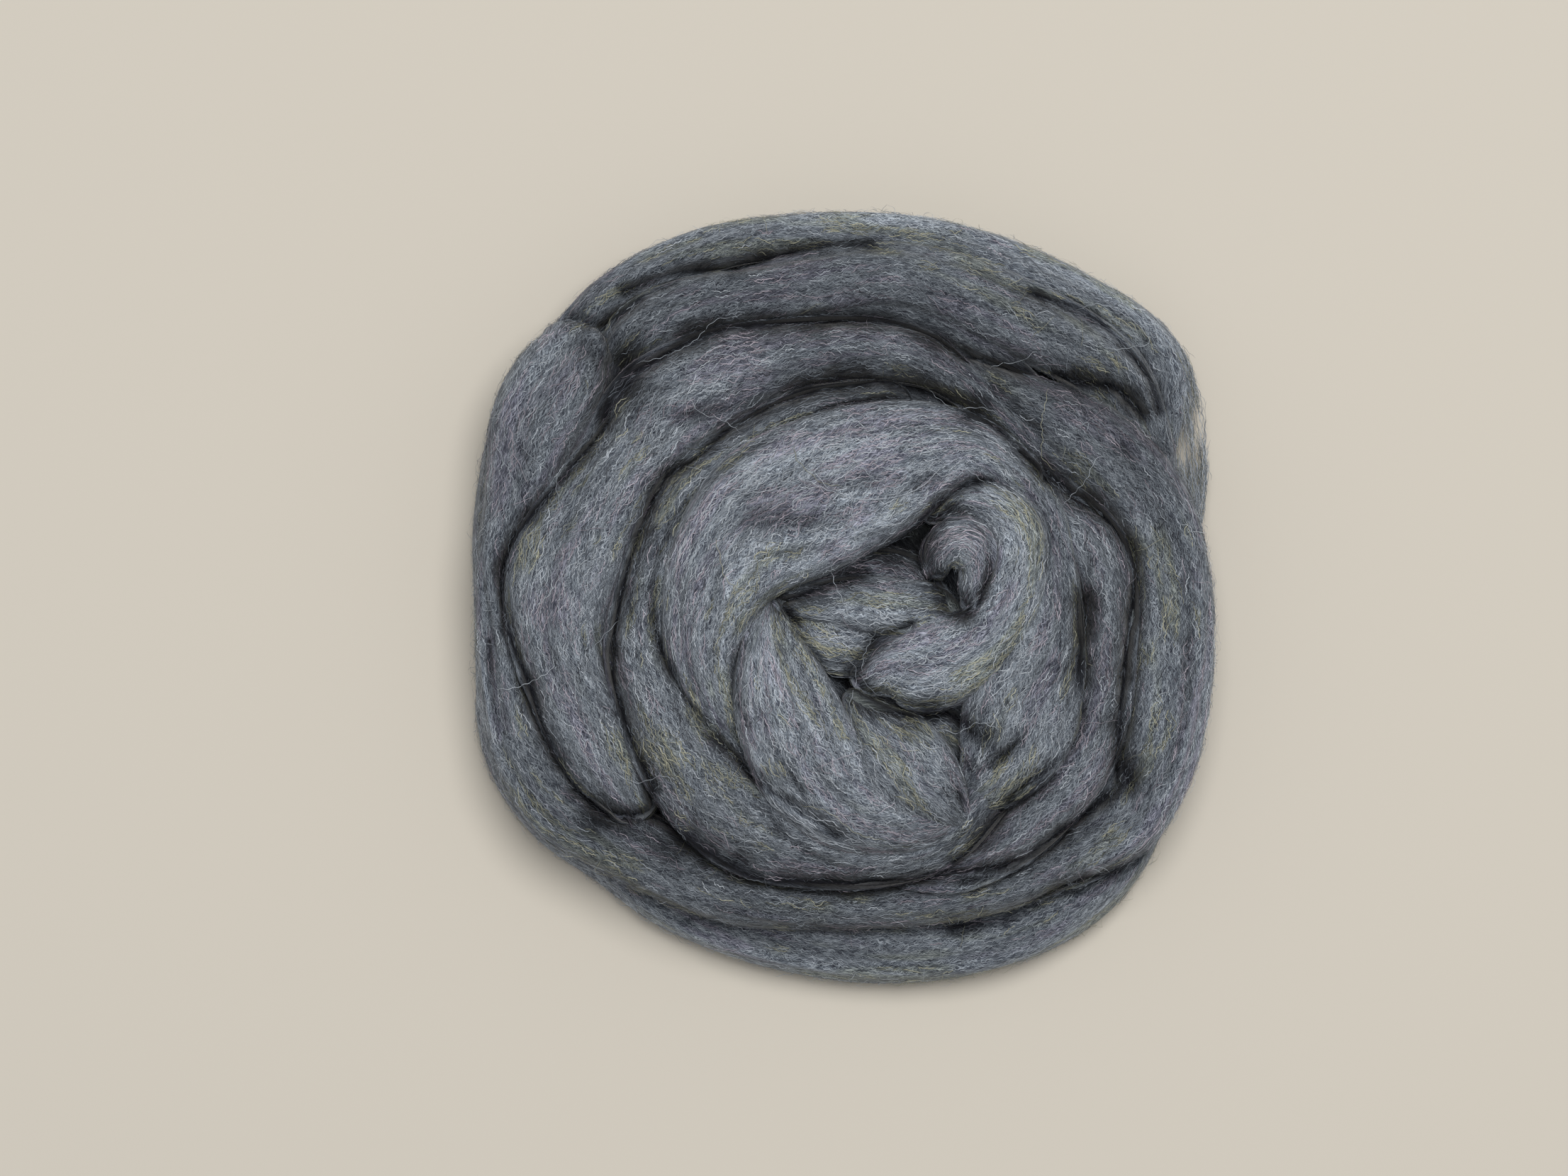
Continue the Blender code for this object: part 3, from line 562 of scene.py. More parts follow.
def roundedPath(rows, shape):
    # the sections along a turn, its ends rounded off, and the way it runs at each
    path = smoothRows(rows, shape["alongStep"])
    along = unit(np.gradient(path[:, :3], axis=0))
    steps = shape["roundSteps"]
    bend = np.radians(90 * np.arange(1, steps + 1) / steps)[:, None]
    ends = []
    for side, row, direction in ((-1, path[0], along[0]), (1, path[-1], along[-1])):
        middles = row[:3] + side * direction * row[4] / 2 * np.sin(bend)
        ends.append(np.hstack([middles, row[3:] * np.maximum(np.cos(bend), 0)]))
    path = np.vstack([ends[0][::-1], path, ends[1]])
    return path, np.vstack([np.repeat(along[:1], steps, 0), along, np.repeat(along[-1:], steps, 0)])


def sectionOffsets(path, along, shape):
    # each section's points, from its middle
    width, thick = path[:, 3], path[:, 4]
    across = unit(np.stack([-along[:, 1], along[:, 0], np.zeros(len(along))], 1))
    outward = path[:, :2] / shape["nestRadius"]
    across[:, 2] -= shape["domeLean"] * (across[:, :2] * outward).sum(1)
    across = unit(across)
    through = unit(np.cross(along, across))
    c, s = ovalPoints(ringAngles(width.mean(), thick.mean(), shape), shape["squareness"])
    offset = across[:, None] * (width[:, None] / 2 * c)[..., None]
    return offset + through[:, None] * (thick[:, None] / 2 * s)[..., None]


def reliefOn(surface, shape):
    # lengthwise ribs in mm, and those of them that get painted light and shade
    rng = np.random.default_rng(surface["seed"])
    arc, share = surface["arc"], surface["share"]
    relief, ribs = np.zeros((len(arc), len(share))), np.zeros((len(arc), len(share)))
    narrowest, widest = shape["ribWidths"]
    for cellLong, cellWide, height in shape["relief"]:
        wrap = cellsRound(surface["meanGirth"], cellWide)
        drift = 0.7 * np.sin(arc / 40 + rng.uniform(0, 6))  # ribs wander round the turn a little
        x = np.repeat(arc[:, None] / cellLong, len(share), 1) + 20
        rise = height * cellNoise(x, share[None, :] * wrap + drift[:, None], rng, wrap)
        relief += rise
        ribs += rise * (narrowest < cellWide < widest)
    return relief, ribs


def paleOn(surface, outward, ribs, shape):
    # painted light and shade along the turn: paler on its outermost walls and on its ribs, darker in the
    # hollows between them
    arc, flat = surface["arc"], surface["points"][..., :2]
    place = np.linalg.norm(flat, axis=-1)
    outside = (outward[..., :2] * flat).sum(-1) / np.maximum(place, 1)
    thin = np.clip((outside - 0.35) / 0.5, 0, 1) * np.clip((place - shape["wallPlace"]) / 8, 0, 1)
    along = np.interp(arc / arc[-1], np.linspace(0, 1, len(shape["pale"])), shape["pale"])
    return along[:, None] * (1 + shape["thinPaler"] * thin) * (1 + shape["ribShade"] * ribs)


def turnSurface(rows, seed, shape):
    # the turn's surface as a grid: rings along it and points round each, the first and last point the same
    path, along = roundedPath(rows, shape)
    middle, width, thick = path[:, :3], path[:, 3], path[:, 4]
    offset = sectionOffsets(path, along, shape)
    outward = unit(offset + 1e-9)
    arc = lengthsAlong(path)
    girth = math.pi * (1.5 * (width + thick) - np.sqrt((3 * width + thick) * (width + 3 * thick)) / 2)
    rounds = np.linalg.norm(np.diff(offset, axis=1), axis=2).sum(0)
    share = runningSum(rounds) / rounds.sum()
    surface = {"seed": seed, "arc": arc, "share": share, "girth": girth, "meanGirth": float(girth.mean())}

    relief, ribs = reliefOn(surface, shape)
    slim = np.minimum(1, np.minimum(width, thick) / shape["slender"])[:, None]
    points = middle[:, None] + offset + outward * (relief * slim)[..., None]
    facingUp = np.clip((outward[..., 2] - 0.1) / 0.4, 0, 1)
    depth, dark = creaseDepth(points[..., 0], points[..., 1])
    points[..., 2] -= depth * facingUp
    points[:, -1] = points[:, 0]
    points[0], points[-1] = middle[0], middle[-1]
    if shape["floorRise"] is not None:
        points[..., 2] = np.maximum(points[..., 2], shape["floorRise"] * arc[:, None])

    roundStep = np.gradient(points, axis=1)
    roundStep[:, 0] = roundStep[:, -1] = points[:, 1] - points[:, -2]
    normals = unit(np.cross(np.gradient(points, axis=0), roundStep))
    facing = np.sign((normals * outward).sum(-1, keepdims=True))
    surface |= {"points": points, "normals": normals * np.where(facing == 0, 1, facing)}
    surface["tuck"] = dark * np.clip((outward[..., 2] + 0.6) / 0.4, 0, 1)  # painted shade in the clefts, not on the underside
    surface["pale"] = paleOn(surface, outward, ribs, shape)
    surface["tint"] = tintAt(surface, arc[:, None], share[None, :])
    return surface


def flatPlaces(mesh):
    # x and y of each vertex
    places = np.empty(len(mesh.vertices) * 3)
    mesh.vertices.foreach_get("co", places)
    return places[0::3], places[1::3]


def addMap(mesh, name, places):
    # a map with a place for each vertex
    corners = np.empty(len(mesh.loops), int)
    mesh.loops.foreach_get("vertex_index", corners)
    mesh.uv_layers.new(name=name).data.foreach_set("uv", places[corners].ravel())


def meshOf(bm, name):
    mesh = bpy.data.meshes.new(name)
    bm.to_mesh(mesh)
    bm.free()
    return mesh


def gridMesh(surface, name, strip):
    # a grid is rolled into the turn: its corners move to the surface, and the seam and ends are merged
    rings, sides = surface["points"].shape[:2]
    bm = bmesh.new()
    bmesh.ops.create_grid(bm, x_segments=rings - 1, y_segments=sides - 1, size=0.5)
    mesh = bpy.data.meshes.new(name)
    bm.to_mesh(mesh)
    x, y = flatPlaces(mesh)
    i = np.rint((x + 0.5) * (rings - 1)).astype(int)
    j = np.rint((y + 0.5) * (sides - 1)).astype(int)
    mesh.vertices.foreach_set("co", (surface["points"][i, j] * mm).ravel())
    # the tint, the painted shade of the clefts and the painted light and shade along the turn, as
    # attributes
    for look in ("tint", "tuck", "pale"):
        mesh.attributes.new(look, "FLOAT", "POINT").data.foreach_set("value", surface[look][i, j])

    arc, share = surface["arc"][i], surface["share"][j]
    addMap(mesh, "flow", np.stack([arc + strip["shift"], (share - 0.5) * surface["girth"][i]], 1))
    u = strip["left"] + arc / surface["arc"][-1] * strip["width"]
    v = strip["low"] + share * strip["height"]
    addMap(mesh, "OFBake", np.stack([u, v], 1))
    bm.clear()
    bm.from_mesh(mesh)
    bmesh.ops.remove_doubles(bm, verts=bm.verts, dist=0.00001)
    bmesh.ops.recalc_face_normals(bm, faces=bm.faces)
    bm.to_mesh(mesh)
    bm.free()
    return mesh


def addPiece(mesh, name, material, stands=None):
    piece = addObject(name, mesh)
    mesh.materials.clear()
    mesh.materials.append(material)
    mesh.shade_smooth()
    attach(piece, "root")
    if stands:
        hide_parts(stands)


# The flat spiral that the nest lies on.
bottomSpiral = {
    "pitch": 17.0,  # mm between turns
    "width": 19.0,
    "thick": 21.0,
    "level": 8.4,
    "turns": 6.5,
    "stepDeg": 12,
    "startRadius": 5.0,
    # the outermost turn's distance from the middle, every 15 degrees from +X
    "outline": [95.5, 92, 95, 103.5, 101.5, 99, 96.5, 100, 102, 102.5, 102.5, 98,
                93.5, 95.8, 102.5, 96.8, 96.5, 96.8, 98.5, 102.6, 106.5, 107, 100.5, 97.5],
    "notch": (27, 9, 7),  # degree, breadth in degrees and mm: the outer turn is thin behind the tuft
    "seed": 90,
    "shift": 40000.0,  # mm that sets its pattern off from the other turns'
    "shape": {
        "alongStep": 3.0,
        "topStep": 1.8,
        "domeLean": 0.0,
        # painted light and shade along the spiral, as for the turns
        "pale": [1.17, 1.17, 1.24, 1.31] + [1.15] * 10,
        "floorRise": 0.00015,  # the inner windings lie a little higher, so that no two share one plane
    },
}

# Turns deep under the crown, seen only down the grooves.
bedSpiral = {
    "pitch": 21.0,
    "width": 25.0,
    "thick": 22.0,
    "level": 26.0,
    "turns": 3.5,
    "stepDeg": 12,
    "startRadius": 6.0,
    "outline": [70, 70, 72, 74, 72, 70, 72, 68, 66, 66, 68, 70],
    "notch": (0, 1, 0),
    "seed": 91,
    "shift": 60000.0,
    # painted shade: these deep turns are darker than those above
    "shape": {"alongStep": 4.0, "topStep": 2.4, "domeLean": 0.0, "pale": (0.7, 0.7)},
}


def spiralRows(form):
    rows = []
    count = len(form["outline"])
    centre, breadth, deep = form["notch"]
    for degrees in range(0, int(form["turns"] * 360) + 1, form["stepDeg"]):
        place = (degrees % 360) / (360 / count)
        k = int(place)
        edge = catmullRom(*[form["outline"][(k + n) % count] for n in (-1, 0, 1, 2)], place - k)
        inward = form["pitch"] * max(0.0, degrees - 360) / 360
        inward += deep * math.exp(-(((degrees - centre) / breadth) ** 2))
        radius = max(form["startRadius"], edge - inward)
        x, y = radius * math.cos(math.radians(degrees)), radius * math.sin(math.radians(degrees))
        rows.append((x, y, form["level"], form["width"], form["thick"]))
    return rows


def buildSpiral(form, name):
    surface = turnSurface(spiralRows(form), form["seed"], turnShape | form["shape"])
    strip = {"left": 0.0, "width": 1.0, "low": 0.0, "height": 1.0, "shift": form["shift"]}
    return surface, gridMesh(surface, name, strip)


def stripFor(k, count, columns=2):
    # the k-th turn's own strip of the map
    rowCount = math.ceil(count / columns)
    column, row = k % columns, k // columns
    gap = 0.002
    strip = {"left": column / columns + gap, "width": 1 / columns - 2 * gap}
    return strip | {"low": row / rowCount + gap, "height": 1 / rowCount - 2 * gap, "shift": 1000.0 * k}


def buildTurns(members, name):
    # the turns named in members, each rolled from its own grid, as one mesh
    bm = bmesh.new()
    for k, member in enumerate(members):
        shape = turnShape | {"pale": paintedPaleness[member]}
        surfaces[member] = turnSurface(turns[member], 100 + list(turns).index(member), shape)
        bm.from_mesh(gridMesh(surfaces[member], member, stripFor(k, len(members))))
    return meshOf(bm, name)


outerNames = ["outerRight", "outerBottom", "outerLeft", "topOuter", "topInner", "middleLeft", "middleTop"]
surfaces = {}
outerMesh = buildTurns(outerNames, "outerTurns")
crownMesh = buildTurns([name for name in turns if name not in outerNames], "crownTurns")
surfaces["bottomTurns"], bottomMesh = buildSpiral(bottomSpiral, "bottomTurns")
_, bedMesh = buildSpiral(bedSpiral, "bedTurns")
turnMeshes = (outerMesh, crownMesh, bottomMesh, bedMesh)
print("turns:", len(turns), "faces:", *(len(mesh.polygons) for mesh in turnMeshes))

# The wool's finish.
wool = {
    "stops": [(0.47, "#363a45"), (0.61, "#757e89"), (0.75, "#b4bdc8")],  # from the painted shade between fibres to their own pale colour
    "lilac": "#f6edf5",
    "olive": "#f8f7e8",
    "crimp": 1.8,  # mm a wave
    "crimpReach": 0.15,  # mm to each side
    "fibreWide": 0.24,  # mm; real fibre is 0.025 mm, drawn as coarse as it needs to show
    "fibreLong": 3.2,
    "layers": [(0.06, 0.0), (-0.2, 40.0), (0.3, 80.0)],  # each layer's slant and place in the noise
    "clumpShade": 0.14,  # how much locks of fibre differ in brightness
    "deep": "#36363f",  # how much of the light is left deep in a cleft
    "heights": [(0.0, 0.56), (0.024, 0.62), (0.036, 0.70), (0.044, 0.80), (0.056, 1.0)],  # painted light: m up and the brightness there, darker towards the bottom
    "bump": {"Strength": 0.5, "Distance": 0.0003},
    "look": {
        "Roughness": 0.9,
        "IOR": 1.54,  # keratin
        "Specular IOR Level": 0.18,
        "Sheen Weight": 0.2,
        "Sheen Roughness": 0.45,
    },
}


def rampOn(tree, factor, stops):
    # a colour ramp with these stops
    node = addNode(tree, "ShaderNodeValToRGB", {"Fac": factor})
    ramp = node.color_ramp
    while len(ramp.elements) < len(stops):
        ramp.elements.new(0.5)
    for element, (place, colour) in zip(ramp.elements, stops):
        element.position = place
        element.color = colour
    return node.outputs["Color"]


def mixed(tree, a, b, factor=1.0, blend="MULTIPLY"):
    inputs = {"Factor": factor, "A": a, "B": b}
    return addNode(tree, "ShaderNodeMix", inputs, data_type="RGBA", blend_type=blend).outputs["Result"]


def combedWool():
    # combed merino top: matte crimped fibres lie side by side, pale on top, with painted shade between them
    material, tree, shader = newMaterial("combedWool", wool["look"])
    flow = addNode(tree, "ShaderNodeUVMap", uv_map="flow")
    axes = addNode(tree, "ShaderNodeSeparateXYZ", {"Vector": flow.outputs["UV"]})
    along, around = axes.outputs["X"], axes.outputs["Y"]

    def maths(operation, a, b=0.0):
        return addNode(tree, "ShaderNodeMath", {0: a, 1: b}, operation=operation).outputs[0]

    def attribute(name):
        return addNode(tree, "ShaderNodeAttribute", attribute_name=name).outputs["Fac"]

    def stretched(cellLong, cellWide, detail, sideways=None, offset=0.0):
        # noise in cells that are long along the fibre; sideways moves it across. Each row of cells is set
        # off from the one before, so that their ends don't line up across the turn
        shifted = maths("ADD", around, sideways) if sideways else around
        y = maths("DIVIDE", shifted, cellWide)
        x = maths("ADD", maths("DIVIDE", along, cellLong), maths("ADD", maths("MULTIPLY", y, 0.37), offset))
        place = addNode(tree, "ShaderNodeCombineXYZ", {"X": x, "Y": y}).outputs[0]
        inputs = {"Vector": place, "Scale": 1.0, "Detail": detail, "Roughness": 0.55}
        return addNode(tree, "ShaderNodeTexNoise", inputs, noise_dimensions="2D").outputs["Fac"]

    def crimped(slant, offset):
        # how far a fibre swings aside: a wave whose phase and reach change slowly from fibre to fibre
        phase = maths("MULTIPLY", stretched(4.0, 2.2, 0.0, None, offset), 13.0)
        wave = maths("SINE", maths("ADD", maths("MULTIPLY", along, 2 * math.pi / wool["crimp"]), phase))
        reach = maths("MULTIPLY", stretched(4.0, 1.7, 0.0, None, offset + 7.7), 2 * wool["crimpReach"])
        drift = maths("MULTIPLY", stretched(12.0, 5.0, 0.0, None, offset + 3.1), 2.4)
        swing = maths("ADD", maths("MULTIPLY", wave, reach), drift)
        return maths("ADD", swing, maths("MULTIPLY", along, slant))

    layers = []
    for slant, offset in wool["layers"]:
        aside = crimped(slant, offset)
        layers.append(stretched(wool["fibreLong"], wool["fibreWide"], 1.0, aside, offset))
    upper, lowest = maths("MAXIMUM", layers[0], layers[1]), maths("MULTIPLY", layers[2], 0.96)
    strands = maths("MAXIMUM", upper, lowest)
    fineClumps = maths("MULTIPLY", stretched(20.0, 0.7, 1.0), 0.12)
    clumps = maths("ADD", fineClumps, stretched(34.0, 3.2, 1.0, None, 5.0))
    clumped = maths("MULTIPLY", maths("SUBTRACT", clumps, 0.56), wool["clumpShade"])
    colour = rampOn(tree, maths("ADD", strands, clumped), [(x, linear(code)) for x, code in wool["stops"]])

    tint = attribute("tint")
    for name, sign in (("lilac", -1), ("olive", 1)):
        share = maths("MULTIPLY", maths("SUBTRACT", maths("MULTIPLY", tint, sign), 0.2), 2.2)
        share = addNode(tree, "ShaderNodeClamp", {"Value": share}).outputs[0]
        colour = mixed(tree, colour, linear(wool[name]), share)

    # painted light: the wool is darker towards the bottom and palest at the crown
    place = addNode(tree, "ShaderNodeTexCoord").outputs["Object"]
    height = addNode(tree, "ShaderNodeSeparateXYZ", {"Vector": place}).outputs["Z"]
    top = wool["heights"][-1][0]
    stops = [(z / top, (b, b, b, 1.0)) for z, b in wool["heights"]]
    paintedHeightLight = rampOn(tree, maths("DIVIDE", height, top), stops)
    # painted shade: the wool is mixed towards the deep colour in the clefts
    paintedCleftShade = mixed(tree, (1, 1, 1, 1), linear(wool["deep"]), attribute("tuck"), "MIX")
    # painted light and shade multiplied in: by height, in the clefts and along each turn
    for shade in (paintedHeightLight, paintedCleftShade, attribute("pale")):
        colour = mixed(tree, colour, shade)
    bump = addNode(tree, "ShaderNodeBump", {**wool["bump"], "Height": strands})
    setInputs(tree, shader, {"Base Color": colour, "Normal": bump.outputs["Normal"]})
    return material


# Each fibre lies on the map as a thin row: a row's height picks its shade, from the neutral ones
# through the lilac ones to the olive ones.
singleFibre = {
    "shades": [(0.00, "#2b2d35"), (0.25, "#78808a"), (0.50, "#c4ccd6"), (0.53, "#4e4a54"),
               (0.74, "#c2bbc8"), (0.77, "#505247"), (1.00, "#bbbba7")],
    "neutral": (0.01, 0.48),  # the lowest row and the spread of each kind
    "lilac": (0.535, 0.2),
    "olive": (0.775, 0.22),
    "paintedFibreLight": (0.78, 1.08, 0.55),  # painted highlight and shade: how much dimmer or brighter it is along its crimp waves, and how dark at its ends
    "look": {"Roughness": 0.7, "IOR": 1.54, "Specular IOR Level": 0.35},
}


def woolFibre():
    # a single fibre: the same wool with its scales catching a little light; painted highlights along its
    # crimp, and painted shade at both ends
    material, tree, shader = newMaterial("woolFibre", singleFibre["look"])
    rows = addNode(tree, "ShaderNodeUVMap", uv_map="OFBake")
    axes = addNode(tree, "ShaderNodeSeparateXYZ", {"Vector": rows.outputs["UV"]})
    shades = [(place, linear(code)) for place, code in singleFibre["shades"]]
    shade = rampOn(tree, axes.outputs["Y"], shades)
    dim, bright, end = singleFibre["paintedFibreLight"]
    paintedFibreLight = [(place / 10, dim if place % 2 else bright) for place in range(1, 10)]
    stops = [(place, (b, b, b, 1)) for place, b in [(0.0, end), *paintedFibreLight, (1.0, end)]]
    bands = rampOn(tree, axes.outputs["X"], stops)
    setInputs(tree, shader, {"Base Color": mixed(tree, shade, bands)})
    return material


woolMaterial = combedWool()
fibreMaterial = woolFibre()
for mesh in turnMeshes:
    addPiece(mesh, mesh.name, woolMaterial, stands="roving_nest")
print("turns finished")

# Single fibres, laid over the turns.
fibres = {
    "segments": 11,
    "length": (2.8, 6.2),  # mm
    "width": (0.15, 0.25),
    "crimp": 1.75,  # mm a wave, in step with its neighbours
    "crimpCell": (6.0, 3.0),  # mm along and across a patch where they are in step
    "crimpSpread": 0.5,
    "wave": (2.6, 5.0),  # mm a wave of its own
    "reach": (0.08, 0.19),  # mm to each side
    "heading": 9.0,  # degrees of spread about the turn
    "lift": (0.02, 0.4),  # mm above the turn
    "dive": 0.12,  # mm up and down with the crimp, in and out of the wool
    "riseShare": 0.15,  # these stand off it further
    "rise": 0.8,
    "roll": 35,  # degrees that a ribbon leans either way
    "sideWeight": 0.85,  # how thickly the walls are covered, where the tops are 1
    "levels": [8, 24, 36, 44, 56],  # mm up, and how bright a fibre is painted there: darker towards the bottom
    "bright": [0.38, 0.42, 0.49, 0.57, 0.67],
    "shadeSpread": (0.13, 0.25),  # at the foot of the nest and at its top
    # fibres side by side are alike: a lock's length and width in mm, and its strength
    "lock": (22.0, 2.6, 0.07),
    "paler": 0.0,
}

flyaways = fibres | {
    "segments": 16,
    "length": (4.0, 11.0),
    "width": (0.08, 0.13),
    "crimp": 2.1,
    "crimpSpread": 3.0,
    "wave": (3.0, 6.0),
    "reach": (0.06, 0.22),
    "heading": 40.0,
    "lift": (0.15, 0.7),
    "riseShare": 0.8,
    "rise": 1.8,
    "shadeSpread": (0.1, 0.16),
}

# Short fuzz along the outline, painted paler, as light comes through the thin edge.
fuzz = flyaways | {
    "segments": 12,
    "length": (2.5, 7.0),
    "width": (0.07, 0.12),
    "rise": 1.3,
    "shadeSpread": (0.1, 0.1),
    # painted light: how much paler the fuzz is than the wool under it
    "paler": 0.25,
    "rim": (0.8, 90),  # it grows where the wool faces outward at least so much, this many mm out
}

groups = {
    "crownFibres": (9000, ["crownFan", "crownRight", "crownFold", "crownTuck", "curl", "curlTip",
                           "heartUpper", "heartMiddle", "heartLower", "heartBase"]),
    "middleFibres": (8600, ["middleLeft", "middleTop", "innerLeft", "innerBottom", "innerRight"]),
    "rimFibres": (8000, ["outerRight", "outerBottom", "outerLeft", "topOuter", "topInner"]),
    "baseFibres": (1500, ["bottomTurns"]),
}
rimNames = ["outerRight", "outerBottom", "outerLeft", "topOuter", "bottomTurns"]

nestBm = bmesh.new()
for mesh in turnMeshes:
    nestBm.from_mesh(mesh)
nestTree = BVHTree.FromBMesh(nestBm)
nestBm.free()

# Ways to look from: straight above, and round the nest at two heights.
lookouts = [Vector((0, 0, 1))]
for lift, count in ((50, 6), (14, 8)):
    level, rise = math.cos(math.radians(lift)), math.sin(math.radians(lift))
    for k in range(count):
        turned = 2 * math.pi * k / count
        lookouts.append(Vector((level * math.cos(turned), level * math.sin(turned), rise)))


def seen(place, normal):
    # whether a place just off the surface, in mm, shows from above or from any side
    start = Vector((place + normal * 0.4) * mm)
    return any(nestTree.ray_cast(start, way)[0] is None for way in lookouts)


def onSurface(surface, arc, share):
    # places and normals on the turn, between the points of its grid
    points, normals = surface["points"], surface["normals"]
    i = np.interp(arc, surface["arc"], np.arange(len(surface["arc"])))
    j = np.interp(share % 1.0, surface["share"], np.arange(len(surface["share"])))
    i0 = np.minimum(i.astype(int), points.shape[0] - 2)
    j0 = np.minimum(j.astype(int), points.shape[1] - 2)
    fi, fj = (i - i0)[..., None], (j - j0)[..., None]

    def blend(grid):
        near = grid[i0, j0] * (1 - fj) + grid[i0, j0 + 1] * fj
        far = grid[i0 + 1, j0] * (1 - fj) + grid[i0 + 1, j0 + 1] * fj
        return near * (1 - fi) + far * fi

    return blend(points), unit(blend(normals))


def cellAreas(points):
    along, around = points[1:, :-1] - points[:-1, :-1], points[:-1, 1:] - points[:-1, :-1]
    return np.linalg.norm(np.cross(along, around), axis=-1)


def withinCell(edges, k, rng):
    # a random place in each of the cells k
    return edges[k] + rng.random(len(k)) * (edges[k + 1] - edges[k])


def pickStarts(surface, count, rng, settings):
    # starts spread evenly over the turn's area, thinner on its walls, in places that show; those of the
    # fuzz are on the walls that face outward
    points, normals = surface["points"], surface["normals"][:-1, :-1]
    sideWeight = settings["sideWeight"]
    weight = cellAreas(points) * (sideWeight + (1 - sideWeight) * np.clip(normals[..., 2], 0, 1))
    if "rim" in settings:
        flat = points[:-1, :-1, :2]
        outward, distance = (unit(flat) * normals[..., :2]).sum(-1), np.linalg.norm(flat, axis=-1)
        weight = weight * (outward > settings["rim"][0]) * (distance > settings["rim"][1])
    cellsAcross = weight.shape[1]
    weight = weight.ravel()
    arcs, shares = [], []
    while len(arcs) < count:
        cell = rng.choice(len(weight), count, p=weight / weight.sum())
        i, j = np.divmod(cell, cellsAcross)
        arc = withinCell(surface["arc"], i, rng)
        share = withinCell(surface["share"], j, rng)
        place, normal = onSurface(surface, arc, share)
        for k in range(count):
            if len(arcs) < count and seen(place[k], normal[k]):
                arcs.append(arc[k])
                shares.append(share[k])
    return np.array(arcs), np.array(shares)


def shownArea(surface):
    # about how much of a turn shows: a sample of its area
    area = cellAreas(surface["points"])
    rng = np.random.default_rng(surface["seed"])
    cell = rng.choice(area.size, 240, p=(area / area.sum()).ravel())
    i, j = np.divmod(cell, area.shape[1])
    spots = zip(surface["points"][i, j], surface["normals"][i, j])
    return area.sum() * np.mean([seen(place, normal) for place, normal in spots])


def shadeRows(bright, tint, rng, spread):
    # the row of the map that a fibre reads: neutral, or lilac or olive in the tinted patches
    bright = np.clip(bright + rng.normal(0, 1, len(bright)) * spread, 0, 1)
    kinds = [singleFibre[kind] for kind in ("neutral", "lilac", "olive")]
    neutral, lilac, olive = [lowest + width * bright for lowest, width in kinds]
    chance = rng.random(len(tint))
    rows = np.where((tint < -0.25) & (chance < 0.4), lilac, neutral)
    return np.where((tint > 0.35) & (chance < 0.6), olive, rows)


def tapered(t, slope, tip):
    # a fibre's width along it, where its middle is 1
    return np.clip(np.minimum(t, 1 - t) * slope + tip, 0, 1)


def between(rng, count, low, high):
    # a column of random values, one for each fibre
    return rng.uniform(low, high, count)[:, None]


def about(rng, count, spread):
    # and one of values spread about 0
    return rng.normal(0, spread, count)[:, None]


def fibreRibbons(surface, count, rng, settings):
    # each fibre's two edges, point by point, and its shade's place on the map
    arc, share = pickStarts(surface, count, rng, settings)
    steps, girth = settings["segments"], surface["meanGirth"]
    t = np.linspace(0, 1, steps + 1)[None, :]
    length = between(rng, count, *settings["length"])
    heading = np.radians(about(rng, count, settings["heading"]))
    bow = about(rng, count, 0.5) * np.sin(math.pi * t)
    arcs = np.clip(arc[:, None] + (t - 0.5) * length * np.cos(heading), 0, surface["arc"][-1])
    aside = (t - 0.5) * length * np.sin(heading) + bow
    places, normals = onSurface(surface, arcs, share[:, None] + aside / girth)
    side = unit(np.cross(normals, unit(np.gradient(places, axis=1))))

    # a crimp nearly in step with the fibres beside it, and a longer wave of its own
    reach = between(rng, count, *settings["reach"])
    cellLong, cellWide = settings["crimpCell"]
    wrap = cellsRound(girth, cellWide)
    patch = cellNoise(arcs / cellLong + 11, (share[:, None] + aside / girth) % 1.0 * wrap, rng, wrap)
    step = 5 * patch + about(rng, count, settings["crimpSpread"])
    ownCrimp = settings["crimp"] * between(rng, count, 0.8, 1.25)
    turn = 2 * math.pi * (arc[:, None] / settings["crimp"] + (arcs - arc[:, None]) / ownCrimp) + step
    wave = between(rng, count, *settings["wave"])
    phase = between(rng, count, 0, 2 * math.pi)
    swing = reach * np.sin(turn) + 0.9 * reach * np.sin(2 * math.pi * t * length / wave + phase)
    lift = between(rng, count, *settings["lift"]) + settings["dive"] * np.sin(turn + phase)
    rises = (rng.random(count) < settings["riseShare"])[:, None]
    which = rng.integers(0, 3, count)[:, None]
    shape = np.where(which == 0, np.sin(math.pi * t), np.where(which == 1, t**2, (1 - t) ** 2))
    lift = lift + rises * settings["rise"] * between(rng, count, 0.3, 1) * shape
    middle = places + side * swing[..., None] + normals * lift[..., None]

    roll = np.radians(between(rng, count, -settings["roll"], settings["roll"]))[..., None]
    edge = side * np.cos(roll) + normals * np.sin(roll)
    half = between(rng, count, *settings["width"]) / 2 * tapered(t, 6, 0.25)
    ribbons = ribbonsOn(middle, edge, half)
    ribbons[..., 2] = np.maximum(ribbons[..., 2], 0.1)

    # a fibre takes the painted light and shade of the wool that it lies on: by height, along the turn and
    # in the clefts
    x, y, z = middle[:, steps // 2].T
    tuck = creaseDepth(x, y)[1]
    i, j = np.searchsorted(surface["arc"], arc) - 1, np.searchsorted(surface["share"], share) - 1
    cellLong, cellWide, strength = settings["lock"]
    wrap = cellsRound(girth, cellWide)
    lock = cellNoise(arc / cellLong, share * wrap, rng, wrap) * strength
    bright = np.interp(z, settings["levels"], settings["bright"])
    bright = bright * surface["pale"][i, j] ** 0.8 * (1 - 0.9 * tuck) + lock + settings["paler"]
    spread = np.interp(z, [15, 50], settings["shadeSpread"])
    return ribbons, shadeRows(bright, tintAt(surface, arc, share), rng, spread)


def ribbonsOn(middles, sides, half):
    return np.stack([middles - sides * half[..., None], middles + sides * half[..., None]], 2)


